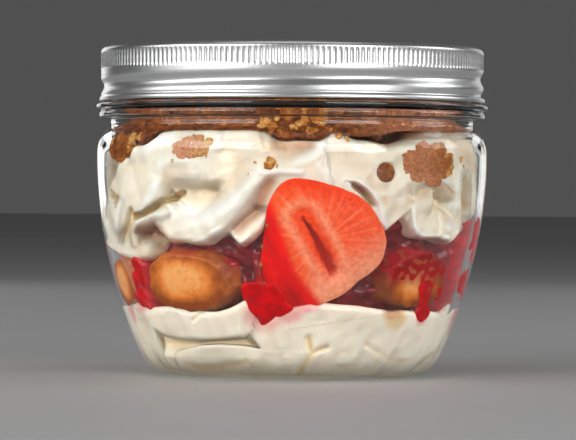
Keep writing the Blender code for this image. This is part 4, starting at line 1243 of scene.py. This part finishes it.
def sauce_mask(name, points, azimuth):
    """Where thin jam lies over a finger, 1 inside it, and the wider stain it leaves."""
    across = degrees_from(azimuth, points)
    z = points[:, 2]
    wander = 1.0 * ripple(points, 6.0, 31) + 0.5 * ripple(points, 2.5, 32)
    if name == "sponge_right":
        streak = run_down(across, 12.0, 4.0, 3.4) + run_down(across, 2.5, 13.0, 3.0)
        edge = 25.4 - streak - run_down(across, 3.5, -9.0, 4.0)
    elif name == "sponge_left":
        edge = 30.6 - 8.0 * smooth_step(-across, 13.5, 17.0) - 5.0 * smooth_step(across, 12.0, 17.0)
    else:
        edge = 31.0 - 12.0 * smooth_step(across, 5.0, 12.0)
    level = z + wander - edge
    return smooth_step(level, -0.7, 0.7), smooth_step(level, -3.5, 0.8)


for side, turn_by in SIDES:
    for name, (azimuth, *sizes) in SPONGES.items():
        points = sponge_points(azimuth + turn_by, *sizes)
        sauce, soaked = sauce_mask(name, points, azimuth + turn_by)
        # The baked value is painted shade towards the edges, where the finger curves away from the
        # glass, and is also darker towards the bottom.
        rim = np.hypot(UNIT[:, 0], UNIT[:, 2] * 1.1)
        baked = 0.58 * smooth_step(rim, 0.25, 0.85) - 0.17 + 0.14 * (UNIT[:, 2] < 0) * -UNIT[:, 2]
        put(f"{name}_finger_{side}", points, UNIT_FACES, SPONGE, "sponge", [f"{name}_{side}"],
            baked=baked, stain=0.75 * soaked)
        mottle = 0.8 + 0.3 * ripple(points, 2.2, 33)
        thick = SAUCE_HIGH * sauce * mottle - SAUCE_LOW
        over = sponge_points(azimuth + turn_by, *sizes, grow=thick)
        # The sauce gets a small set depth value that makes it darker higher up and brighter red
        # lower down.
        put(f"thin_sauce_on_{name}_{side}", over, UNIT_FACES, BERRY_JAM, "berry_jam",
            depth=0.26 - 0.2 * sauce * smooth_step(points[:, 2], 28.0, 22.0))

# %% [markdown]
# The cut face of a strawberry has bands: red skin, orange-red flesh, a paler ring with
# fine fibres, and a hollow slit along the middle. The mesh is a disc of rings from the
# middle to the outline and then round the back. The face is pressed on the glass, the
# left edge rolls away so that the red skin shows, and the slit is sunk.

# %% Strawberry shape
BERRY_BULGE = 13.0
BERRY_COLUMNS = 300
FACE_ROWS = 110
BACK_ROWS = 40
SLIT = [(3.5, 36.9), (6, 34.2), (8, 31.6), (10.5, 28.4), (12.5, 25.6), (14, 24.0)]
TIP_WAY = (-0.52, 0.86)


def slit_distance(u, v):
    """Distance in mm from the slit's line, and how far along it a point lies."""
    line = [((a - BERRY_CENTRE[0]) * ARC, h - BERRY_CENTRE[1]) for a, h in SLIT]
    away, _ = line_distance(u, v, line)
    (u0, v0), (u1, v1) = line[0], line[-1]
    along = ((u - u0) * (u1 - u0) + (v - v0) * (v1 - v0)) / ((u1 - u0) ** 2 + (v1 - v0) ** 2)
    return away, along


def strawberry(turn_by):
    """Points of a berry half, with the values that colour it."""
    angle = np.linspace(0.0, 2.0 * math.pi, BERRY_COLUMNS, endpoint=False)[:, None]
    out = np.concatenate([np.linspace(0.01, 1.0, FACE_ROWS) ** 0.8,
                          np.linspace(1.0, 0.02, BACK_ROWS + 1)[1:]])
    behind = np.arange(len(out)) >= FACE_ROWS
    reach = berry_outline_radius(angle) * out
    u, v = reach * np.cos(angle), reach * np.sin(angle)
    # The left and lower left of the face roll away from the glass and show skin.
    left = smooth_step(-(u + 0.35 * v) / 12.6, 0.52, 1.0)
    low_left = smooth_step(-(0.75 * u + 0.66 * v) / 13.2, 0.55, 1.0)
    skin_side = np.maximum(left, low_left)
    roll = 3.4 * (1.0 - np.sqrt(np.clip(1.0 - skin_side**2, 0.0, 1.0)))
    edge = 0.45 * eased((1.0 - out) * 13.0, 1.0) + 0.0 * u
    # The slit is widest near its lower end, and the flesh round it is slightly sunk.
    away, along = slit_distance(u, v)
    inside = smooth_step(along, -0.08, 0.12) * (1.0 - smooth_step(along, 0.86, 1.06))
    wander = np.stack([u, v, 0.0 * u], -1)
    width = 0.55 + 0.75 * smooth_step(along, 0.25, 0.6) + 0.22 * ripple(wander, 2.4, 41)
    slit = inside * (1.0 - smooth_step(away, 0.35 * width, 1.25 * width))
    fibres = 0.05 * ripple(wander, 1.2, 42) + 0.05 * ripple(wander, 3.0, 43)
    sunk = 1.1 * slit + 0.25 * (1.0 - smooth_step(away, 0.8, 3.4)) + fibres
    face = np.maximum(roll, edge) + np.maximum(sunk, 0.0)
    # Behind the face the berry bulges into the jar.
    back = roll[:, FACE_ROWS - 1:FACE_ROWS] * out + 1.1
    back = back + BERRY_BULGE * np.sqrt(np.clip(1.0 - out**2, 0.0, 1.0))
    depth = np.where(behind, back, face)
    azimuth = turn_by + BERRY_CENTRE[0] + u / (ARC * BERRY_STRETCH)
    z = BERRY_CENTRE[1] + v
    radius = inner_radius(z) + BERRY_PRESS - depth
    pale = smooth_step(-(u * TIP_WAY[0] + v * TIP_WAY[1]), 2.5, 12.0)
    top = smooth_step(u * 0.2 + v, 6.5, 13.5)
    # Fine fibres run from the slit to the skin: four waves round the slit, added up.
    spokes = sum(np.sin(count * angle + count) for count in (19, 27, 38, 53)) / 2.0
    spokes = smooth_step(spokes, -0.4, 1.4) * smooth_step(away, 1.8, 4.0)
    fibre = 0.24 * spokes * (1.0 - smooth_step(out, 0.78, 0.97)) * (1.0 - 0.7 * top)
    values = {"skin": np.where(behind, 1.0, smooth_step(skin_side, 0.0, 0.5)), "slit": slit,
              "fibre": fibre,
              "away": np.clip(away / 10.0, 0.0, 1.0), "pale": pale, "top": top,
              "rim": np.where(behind, 1.0, out + 0.0 * u)}
    return spot(azimuth, radius, z), values


berry_points, berry_values = strawberry(0)
print("berry points:", berry_points.shape)

# %% [markdown]
# The bands are mixed in order: flesh by distance from the slit, paler towards the
# calyx end, orange towards the top edge, then red skin and the dark slit on top. A
# little noise moves each border, because fruit has no straight lines.

# %% Strawberry finish
def strawberry_look():
    """Flesh in bands, pale fibres, red skin and a dark slit."""
    look, tree, shader = new_look("strawberry", Subsurface_Weight=0.3,
                                  Subsurface_Radius=(1.0, 0.25, 0.12), Subsurface_Scale=1.4 * MM,
                                  Specular_IOR_Level=0.12, IOR=1.4)
    grain = use(tree, GRAIN, Scale=190.0, Pits=0.3)
    fine = use(tree, GRAIN, Scale=900.0, Pits=0.5)
    shaken = node(tree, "ShaderNodeMath", {0: grain["Mask"], 1: 0.22}, operation="MULTIPLY")
    moved = node(tree, "ShaderNodeMath", {0: stored(tree, "away"), 1: shaken.outputs[0]},
                 operation="ADD")
    flesh = ramp(tree, moved.outputs[0], (0.10, (0.78, 0.075, 0.012)), (0.26, (0.88, 0.105, 0.022)),
                 (0.46, (1.0, 0.38, 0.22)), (0.62, (0.98, 0.17, 0.055)), (0.9, (0.98, 0.15, 0.05)))
    flesh = blend(tree, stored(tree, "top"), flesh, (0.93, 0.065, 0.008, 1.0))
    flesh = blend(tree, stored(tree, "pale"), flesh, (0.96, 0.42, 0.26, 1.0))
    flesh = blend(tree, stored(tree, "fibre"), flesh, (1.0, 0.55, 0.36, 1.0))
    flesh = darkened(tree, flesh, fine["Mask"], 0.35, (0.86, 0.74, 0.7), 0.6)
    red = ramp(tree, grain["Mask"], (0.3, (0.70, 0.001, 0.001)), (0.7, (0.90, 0.004, 0.001)))
    flesh = blend(tree, stored(tree, "skin"), flesh, red)
    flesh = blend(tree, stored(tree, "slit"), flesh, (0.42, 0.018, 0.004, 1.0))
    tree.links.new(flesh, shader.inputs["Base Color"])
    wet_gloss(tree, shader, Scale=150.0, Low=0.18, High=0.4)
    rough_up(tree, shader, fine["Height"], 0.25, 0.1)
    return look


STRAWBERRY = strawberry_look()
for side, turn_by in SIDES:
    berry_points, berry_values = strawberry(turn_by)
    values = {key: over_skin(value + 0.0 * berry_points[..., 0])
              for key, value in berry_values.items()}
    put(f"strawberry_half_{side}", *skin(berry_points), STRAWBERRY, "strawberry",
        [f"strawberry_{side}"], **values)

# %% [markdown]
# Strawberry seeds are tiny drop shapes that sit in the skin. Only the skin has them, so
# they follow the left edge and the top edge. Scattered things are joined into one mesh,
# which is lighter to draw and to export than many objects.

# %% Seeds
def joined(parts):
    """One mesh from (points, faces, tone) parts."""
    points, faces, tones, start = [], [], [], 0
    for part, part_faces, tone in parts:
        points.append(part)
        faces += [[i + start for i in face] for face in part_faces]
        tones.append(np.full(len(part), tone))
        start += len(part)
    return np.vstack(points), faces, np.concatenate(tones)


def seed_look():
    """Dull gold seeds of uneven tone."""
    look, tree, shader = new_look("strawberry seed", Roughness=0.4, Coat_Weight=0.4)
    grain = use(tree, GRAIN, Scale=900.0, Pits=0.4)
    colour = ramp(tree, stored(tree, "tone"), (0.0, (0.30, 0.13, 0.02)), (1.0, (0.62, 0.36, 0.08)))
    dusty = darkened(tree, colour, grain["Mask"], 0.35, (0.6, 0.6, 0.5), 0.6)
    tree.links.new(dusty, shader.inputs["Base Color"])
    rough_up(tree, shader, grain["Height"], 0.3, 0.1)
    return look


SEED_LOOK = seed_look()
SEED_BALL, SEED_FACES = ball(3)
SEEDS = [(-9.5, 30.4, 0.0), (-10, 26.4, 0.3), (-9, 22.2, 0.5), (-7.5, 35.2, 0.7), (-6, 39.3, 0.9),
         (-3.5, 43.6, 0.2), (1.5, 45.5, 0.1), (6, 44.9, 0.2), (12.5, 43.6, 0.15), (17.5, 42.0, 0.1),
         (22.5, 39.9, 0.3), (-7, 20.4, 0.4), (-2, 18.2, 0.8)]
for side, turn_by in SIDES:
    parts = []
    for azimuth, height, tone in SEEDS:
        reach = float(inside_berry(azimuth, height))
        sink = 0.35 + 2.6 * max(0.0, min(1.0, (reach - 0.9) * 9.0)) * (azimuth < -2.0)
        size = SEED_BALL * [0.32, 0.26, 0.5]
        centre = spot(azimuth + turn_by, inner_radius(height) - sink, height)
        parts.append((pressed(centre + size @ axes_at(azimuth + turn_by), BERRY_PRESS + 0.05),
                      SEED_FACES, tone))
    points, faces, tone = joined(parts)
    put(f"strawberry_seeds_{side}", points, faces, SEED_LOOK, "strawberry", tone=tone)

# %% [markdown]
# The topping is a heap of baked crumble. A core fills the middle, and hundreds of small
# craggy crumbs lie over it and against the neck. Six crumb shapes are made once and
# reused with their own turn, size and tone, which the eye doesn't notice.

# %% Crumbs
def crumble_look():
    """Dark to golden baked crumbs, rosy where juice has soaked in, and painted paler on the heap's
    lit side.
    """
    look, tree, shader = new_look("baked crumble", Roughness=0.7, IOR=1.35,
                                  Subsurface_Weight=0.08, Subsurface_Scale=0.8 * MM,
                                  Subsurface_Radius=(1.0, 0.5, 0.2))
    grain = use(tree, GRAIN, Scale=520.0, Pits=0.9)
    fine = use(tree, GRAIN, Scale=1500.0, Pits=1.0)
    shade = node(tree, "ShaderNodeMath", {0: grain["Mask"], 1: stored(tree, "tone")},
                 operation="ADD")
    body = ramp(tree, shade.outputs[0], (0.42, (0.085, 0.022, 0.006)), (0.7, (0.34, 0.105, 0.02)),
                (1.0, (0.62, 0.27, 0.055)), (1.0, (0.78, 0.46, 0.17)))
    rosy = blend(tree, stored(tree, "juice"), body, (0.78, 0.37, 0.24, 1.0))
    specked = darkened(tree, rosy, fine["Mask"], 0.38, (0.72, 0.62, 0.54), 0.55)
    tree.links.new(specked, shader.inputs["Base Color"])
    both = node(tree, "ShaderNodeMath", {0: grain["Height"], 1: fine["Height"]}, operation="ADD")
    rough_up(tree, shader, both.outputs[0], 0.8, 0.3)
    return look


CRUMBLE = crumble_look()
CRUMB_BALL, CRUMB_FACES = ball(3)


def crag(points, seed, depth=0.22):
    """A unit ball made craggy: lumps, dents and flat broken sides."""
    lumps = 1.0 + depth * ripple(points, 1.7, seed) + 0.5 * depth * ripple(points, 0.7, seed + 50)
    out = points * lumps[:, None]
    rng = np.random.default_rng(seed + 90)
    for _ in range(5):
        way = rng.normal(size=3)
        way /= np.linalg.norm(way)
        past = np.maximum(out @ way - rng.uniform(0.62, 0.85), 0.0)
        out = out - past[:, None] * way * 0.85
    return out


CRUMB_SHAPES = [crag(CRUMB_BALL, seed) for seed in range(6)]


def crumb(rng, centre, size, reach=None):
    """One crumb of a random kind at a place; reach presses it on the glass."""
    spin = np.array(Quaternion(rng.normal(size=4)).normalized().to_matrix())
    shape = CRUMB_SHAPES[rng.integers(len(CRUMB_SHAPES))] * rng.uniform(0.75, 1.25, 3) * size
    points = shape @ spin + centre
    return points if reach is None else pressed(points, reach)


print("crumb shapes:", len(CRUMB_SHAPES))

# %% [markdown]
# The heap's core is a low dome. The crumbs over it are thrown at random but evenly, and
# a ring of them is pushed against the neck, where the glass shows them.

# %% Crumble heap
CRUMBLE_RADIUS = 38.6
CRUMBLE_EDGE = 59.4
CRUMBLE_TOP = 60.6
HEAP_CRUMBS = 330
RIM_CRUMBS = 380
GOLDEN_SPAN = 11.0
GOLDEN_ANGLE = 137.508
HEAP_COLUMNS = 360
WALL_TOP = 61.0
PAINTED_LIGHT_SIDE = 0.4


def heap_height(radius):
    """Height of the heap's dome at a radius."""
    return CRUMBLE_TOP - (CRUMBLE_TOP - CRUMBLE_EDGE) * (radius / CRUMBLE_RADIUS) ** 2


def heap_core():
    """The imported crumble: a wall of it against the neck, and a low dome."""
    azimuth = np.arange(HEAP_COLUMNS)[:, None] * 360.0 / HEAP_COLUMNS
    high = along_glass(CREAM_RIM, azimuth)
    under_r = np.linspace(3.0, CRUMBLE_RADIUS - 0.4, 8)
    under_z = CREAM_MIDDLE + (high - CREAM_MIDDLE) * under_r / MOUTH_RADIUS - 0.2
    wall_z = high + (WALL_TOP - high) * np.linspace(0.0, 1.0, 16)
    wall_r = inner_radius(wall_z) + 0.05
    wall_r = wall_r - np.maximum(0.35 * ripple(spot(azimuth, wall_r, wall_z), 2.2, 62) + 0.1, 0.0)
    over_r = np.linspace(CRUMBLE_RADIUS, 3.0, 16)
    r = np.hstack([under_r + 0.0 * high, wall_r, over_r + 0.0 * high])
    z = np.hstack([under_z, wall_z, heap_height(over_r) - 0.9 + 0.0 * high])
    points = spot(azimuth, r, z)
    points[..., 2] += 0.35 * ripple(points, 3.0, 61) * (r > 6.0) * (r < CRUMBLE_RADIUS)
    return points


print("heap top:", CRUMBLE_TOP, "mm")

# %% [markdown]
# The crumbs over the dome are placed by the golden angle, which spreads them evenly
# without rows. Those at the neck stand nearly upright against the glass. The right side is
# painted a little paler, with the rosy colour and a lighter tone: painted light where the
# light comes through.

# %% Heap of crumbs
def heap_parts():
    """The heap's core, the crumbs over it, and the ring of crumbs at the neck."""
    rng = np.random.default_rng(7)
    core, core_faces = skin(heap_core())
    parts = [(core, core_faces, 0.08)]
    for i in range(HEAP_CRUMBS):
        radius = (CRUMBLE_RADIUS - 1.0) * math.sqrt((i + 0.5) / HEAP_CRUMBS)
        size = rng.uniform(0.9, 2.3)
        centre = spot(GOLDEN_ANGLE * i, radius, heap_height(radius) - 0.3 * size)
        centre[2] = min(centre[2], CRUMBLE_TOP + 0.6 - size)
        parts.append((crumb(rng, centre, size, 0.05), CRUMB_FACES, rng.uniform(-0.12, 0.5)))
    for i in range(RIM_CRUMBS):
        azimuth = 360.0 * (i + rng.uniform(-0.4, 0.4)) / RIM_CRUMBS
        golden = abs(float(half_turn(azimuth)) - 1.0) < GOLDEN_SPAN
        base = float(along_glass(CREAM_RIM, azimuth))
        height = rng.uniform(base + 0.2, WALL_TOP)
        size = rng.uniform(0.8, 1.6) if golden else rng.uniform(0.5, 1.0)
        radius = float(inner_radius(height)) - (0.4 if golden else 0.8) * size
        tone = rng.uniform(0.22, 0.6) if golden else rng.uniform(0.0, 0.35)
        # The right side's crumbs get a lighter tone: painted light where the light comes through.
        tone += 0.2 * float(smooth_step(half_turn(azimuth), 14.0, 34.0))
        parts.append((crumb(rng, spot(azimuth, radius, height), size, 0.05), CRUMB_FACES, tone))
    return parts


points, faces, tone = joined(heap_parts())
heap_azimuth = half_turn(azimuth_of(points))
# On the heap this value is only painted light: the right side is painted paler with the rosy colour
# where the light comes through.
juice = PAINTED_LIGHT_SIDE * smooth_step(heap_azimuth, 14.0, 36.0)
juice = juice * (1.0 - smooth_step(heap_azimuth, 66.0, 88.0))
put("crumble_heap", points, faces, CRUMBLE, "crumble", ["crumble"], tone=tone, juice=juice)

# %% [markdown]
# A few larger crumble pieces are caught between the cream and the glass. Each is a
# craggy lump with small crumbs stuck on it, flattened on the glass. Some have soaked up
# juice and look rosy, which is a second value on their points.

# %% Crumble pieces on the glass
PIECE_TONES = {"crumb_left": (0.30, 0.0), "crumb_centre": (0.56, 0.62), "crumb_right": (0.44, 0.42),
               "crumb_ball": (0.14, 0.12)}
CHUNK_BALL, CHUNK_FACES = ball(5)
STRAY_CRUMBS = [(-6.5, 48.8, 1.5), (-4.5, 48.2, 0.9), (-10.5, 49.0, 0.6), (59, 50.1, 1.0),
                (61, 48.6, 0.7), (-56, 53.2, 1.7), (-53, 53.8, 1.2), (-67.5, 52.6, 1.1),
                (-12.5, 46.3, 0.45), (40.5, 46.6, 0.8), (34, 50.8, 0.5), (-37, 49.4, 0.6),
                (14, 54.2, 0.8), (16.5, 53.6, 0.6), (-25, 53.0, 0.9)]


def glass_chunk(name, azimuth, height, across, up, inward, rng):
    """A cluster of craggy lumps and crumbs, pressed on the glass."""
    radius = float(inner_radius(height)) - 0.55 * inward
    middle = spot(azimuth, radius, height)
    tone = PIECE_TONES[name][0]
    single = name == "crumb_ball"
    places = [(0.0, 0.0, 1.0 if single else 0.8)]
    places += [] if single else [(0.64 * math.cos(t), 0.56 * math.sin(t), rng.uniform(0.36, 0.5))
                                 for t in np.arange(0.3, 6.4, 0.9)]
    parts = []
    for i, (aside, over, share) in enumerate(places):
        grains = 0.10 * ripple(CHUNK_BALL, 1.1, 71 + i) + 0.05 * ripple(CHUNK_BALL, 0.35, 91 + i)
        boxy = np.sign(CHUNK_BALL) * np.abs(CHUNK_BALL) ** (1.0 if single else 0.72)
        shape = boxy * (1.0 + (0.25 if single else 1.0) * grains)[:, None] * share
        around = across + up
        size = [across, inward, up] if i == 0 else [0.5 * around, inward, 0.42 * around]
        local = shape * size + [aside * across, 0.3 * inward * (i > 0), over * up]
        reach = CHUNK_PRESS - 0.012 * i
        parts.append((pressed(middle + local @ axes_at(azimuth), reach), CHUNK_FACES,
                      tone + (0.0 if single else rng.uniform(-0.12, 0.12))))
    for _ in range(0 if single else int(across * up)):
        angle = rng.uniform(0.0, 2.0 * math.pi)
        away = rng.uniform(0.6, 1.0)
        offset = np.array([across * away * math.cos(angle), 0.3 * inward,
                           up * away * math.sin(angle)])
        parts.append((crumb(rng, middle + offset @ axes_at(azimuth), rng.uniform(0.35, 0.9),
                            CHUNK_PRESS + 0.02), CRUMB_FACES, tone + rng.uniform(-0.1, 0.3)))
    return parts


print("crumble pieces:", len(PIECE_TONES), "stray crumbs:", len(STRAY_CRUMBS))

# %% [markdown]
# The pieces and the stray crumbs are made for both sides from the same draws, so the
# back matches the front. Loose crumbs of one side are joined into one mesh.

# %% Crumble pieces and stray crumbs
def juice_over(name, azimuth, points):
    """How much juice the piece has soaked up: the large one more on its left."""
    amount = PIECE_TONES[name][1]
    across = degrees_from(azimuth, points)
    return amount * (1.25 - 0.95 * smooth_step(across, -3.0, 7.0))


for side, turn_by in SIDES:
    rng = np.random.default_rng(11)
    for name, (azimuth, *sizes) in CHUNKS.items():
        points, faces, tone = joined(glass_chunk(name, azimuth + turn_by, *sizes, rng))
        put(f"{name}_piece_{side}", points, faces, CRUMBLE, "crumble", [f"{name}_{side}"],
            tone=tone, juice=juice_over(name, azimuth + turn_by, points))
    strays = []
    for azimuth, height, size in STRAY_CRUMBS:
        centre = spot(azimuth + turn_by, float(inner_radius(height)) - 0.5 * size, height)
        strays.append((crumb(rng, centre, size, CHUNK_PRESS), CRUMB_FACES, rng.uniform(0.4, 0.75)))
    points, faces, tone = joined(strays)
    put(f"stray_crumbs_{side}", points, faces, CRUMBLE, "crumble", tone=tone, juice=0.0 * tone)

# %% [markdown]
# Jam has run down in a few places and stands on the glass as drips and drops. A drip is
# a tube with a changing width, swept down the glass and flattened on it. A drop could be
# a squashed ball, but spread jam is flat right to its edge, so it is a thin patch of
# rings inside an uneven outline, with a short rounded rim.

# %% Drips and drops
DRIPS = [  # places of azimuth, height and half width
    [(48, 22.5, 2.6), (49, 20.0, 2.1), (50.5, 18.0, 1.6), (51.7, 16.6, 1.5), (52, 15.0, 1.3)],
    [(57.5, 21.5, 1.4), (58, 19.6, 0.9), (58.3, 18.2, 0.5)],
    [(-61, 24.5, 1.5), (-61, 21.5, 1.2), (-60.7, 19.0, 1.1), (-60.5, 17.4, 0.9)],
]
DROPS = [  # azimuth, height, half width, half height and unevenness
    (52, 15.4, 3.0, 2.2, 0.05), (-60.5, 17.7, 2.0, 1.3, 0.1), (-63.5, 18.8, 1.2, 1.2, 0.1),
    (-8.6, 18.4, 5.2, 4.3, 0.12), (-12.4, 20.2, 3.2, 2.6, 0.12), (-4.0, 16.6, 3.4, 1.7, 0.12),
]
DRIP_COLUMNS = 28
DROP_COLUMNS = 72
FLAT_ROWS = 16
DROP_PRESS = 0.13


def drip(line, turn_by):
    """A tube swept down the glass through (azimuth, height, half width) places."""
    keys = np.array(line)
    t = np.linspace(0.0, 1.0, 30)
    at = np.linspace(0.0, 1.0, len(keys))
    azimuth, height, width = (np.interp(t, at, keys[:, k]) for k in range(3))
    ends = np.sqrt(np.clip(1.0 - (2.0 * t - 1.0) ** 8, 0.02, 1.0))
    around = np.linspace(0.0, 2.0 * math.pi, DRIP_COLUMNS, endpoint=False)[:, None]
    across = width * ends * np.cos(around)
    deep = 0.55 * width * ends * np.sin(around)
    radius = inner_radius(height) - 0.25 * width + deep
    points = spot(turn_by + azimuth + across / ARC, radius, height)
    points, faces = skin(points)
    return pressed(points, DROP_PRESS), faces


def drop(azimuth, height, wide, tall, uneven):
    """A drop spread flat on the glass inside an uneven outline."""
    angle = np.linspace(0.0, 2.0 * math.pi, DROP_COLUMNS, endpoint=False)[:, None]
    out = np.concatenate([np.linspace(0.02, 1.0, FLAT_ROWS), [0.97, 0.9, 0.75, 0.5, 0.2, 0.02]])
    behind = np.arange(len(out)) >= FLAT_ROWS
    edge = 1.0 + uneven * (0.5 * np.sin(3 * angle + 0.4) + 0.4 * np.sin(5 * angle + 2.2)
                           + 0.2 * np.sin(7 * angle))
    u = wide * edge * out * np.cos(angle)
    z = height + tall * edge * out * np.sin(angle)
    back = 1.1 + 0.6 * np.sqrt(1.0 - out**2)
    depth = np.where(behind, back, 0.5 * eased((1.0 - out) * wide, 0.9))
    return skin(spot(azimuth + u / ARC, inner_radius(z) + DROP_PRESS + 0.02 - depth, z))


for side, turn_by in SIDES:
    parts = [(*drip(line, turn_by), 0.0) for line in DRIPS]
    parts += [(*drop(azimuth + turn_by, *sizes), 0.0) for azimuth, *sizes in DROPS]
    points, faces, _ = joined(parts)
    deep = 0.02 + 0.02 * ripple(points, 3.0, 77)
    put(f"jam_drips_{side}", points, faces, BERRY_JAM, "berry_jam", depth=deep)

# %% [markdown]
# The stage is a plain pale floor. The lights are large and soft, as for a product shot:
# two stand in front, one at each side, and a weak one hangs overhead, which the satin lid
# turns into long bands. Two thin strips behind the jar draw the bright edges of the glass.
# A wide softbox is easier to place than many lamps, and it leaves no hard sparkle.

# %% Floor, lights and world
def plain_stage():
    """A pale floor and an even grey world."""
    bpy.ops.mesh.primitive_plane_add(size=12.0, location=(0.0, 0.0, -0.0002))
    floor = bpy.context.object
    floor.name = "pale_floor"
    look, tree, shader = new_look("pale floor", Roughness=0.6)
    place = on_object(tree)
    soft = node(tree, "ShaderNodeTexNoise", {"Vector": place, "Scale": 3.0, "Detail": 2.0})
    colour = ramp(tree, soft.outputs["Fac"], (0.3, (0.54, 0.54, 0.54)), (0.7, (0.57, 0.57, 0.57)))
    tree.links.new(colour, shader.inputs["Base Color"])
    floor.data.materials.append(look)
    world = bpy.data.worlds.new("studio")
    bpy.context.scene.world = world
    world.use_nodes = True
    backdrop = world.node_tree.nodes["Background"]
    backdrop.inputs["Color"].default_value = (0.09, 0.09, 0.09, 1.0)
    backdrop.inputs["Strength"].default_value = 1.0


def soft_light(name, place, size, power, aim=(0.0, 0.0, 0.04)):
    """A softbox at a place, in metres and watts, aimed at the jar."""
    data = bpy.data.lights.new(name, "AREA")
    data.shape = "RECTANGLE"
    data.size, data.size_y = size
    data.energy = power
    light = bpy.data.objects.new(name, data)
    bpy.context.scene.collection.objects.link(light)
    light.location = place
    light.rotation_mode = "QUATERNION"
    light.rotation_quaternion = (Vector(aim) - Vector(place)).to_track_quat("-Z", "Y")


plain_stage()
soft_light("left_front_softbox", (-0.85, -0.92, 0.46), (0.9, 0.5), 6.1)
soft_light("right_front_softbox", (0.74, -0.96, 0.32), (0.8, 0.42), 4.6)
soft_light("right_side_softbox", (1.0, 0.14, 0.46), (0.6, 0.5), 1.9)
soft_light("left_side_softbox", (-1.0, -0.24, 0.46), (0.6, 0.5), 2.0)
soft_light("overhead_softbox", (0.0, -0.05, 0.8), (0.6, 0.4), 0.5)
soft_light("left_edge_strip", (-0.36, 0.75, 0.12), (0.22, 0.5), 0.45)
soft_light("right_edge_strip", (0.36, 0.75, 0.12), (0.22, 0.5), 0.25)

# %% [markdown]
# The camera looks almost level from a distance with a long lens, so the jar shows
# little perspective. A short lens up close would bulge it. A very small roll tilts the
# frame, as a camera on a real table is seldom quite level.

# %% Camera
CAMERA_PLACE = Vector((0.0, -0.8, 0.042))
CAMERA_AIM = Vector((-0.0008, 0.0, 0.0359))
CAMERA_ROLL = math.radians(0.38)


def build_camera():
    """The camera, aimed at the jar and made the scene's own."""
    data = bpy.data.cameras.new("camera")
    data.sensor_width = 36.0
    data.lens = 214.0
    camera = bpy.data.objects.new("camera", data)
    bpy.context.scene.collection.objects.link(camera)
    camera.location = CAMERA_PLACE
    camera.rotation_mode = "QUATERNION"
    look = (CAMERA_AIM - CAMERA_PLACE).to_track_quat("-Z", "Y")
    camera.rotation_quaternion = look @ Quaternion((0.0, 0.0, 1.0), CAMERA_ROLL)
    bpy.context.scene.camera = camera
    return camera


camera = build_camera()
bpy.context.scene.view_settings.view_transform = "Standard"
bpy.context.scene.view_settings.look = "Medium High Contrast"
print("camera lens:", camera.data.lens)
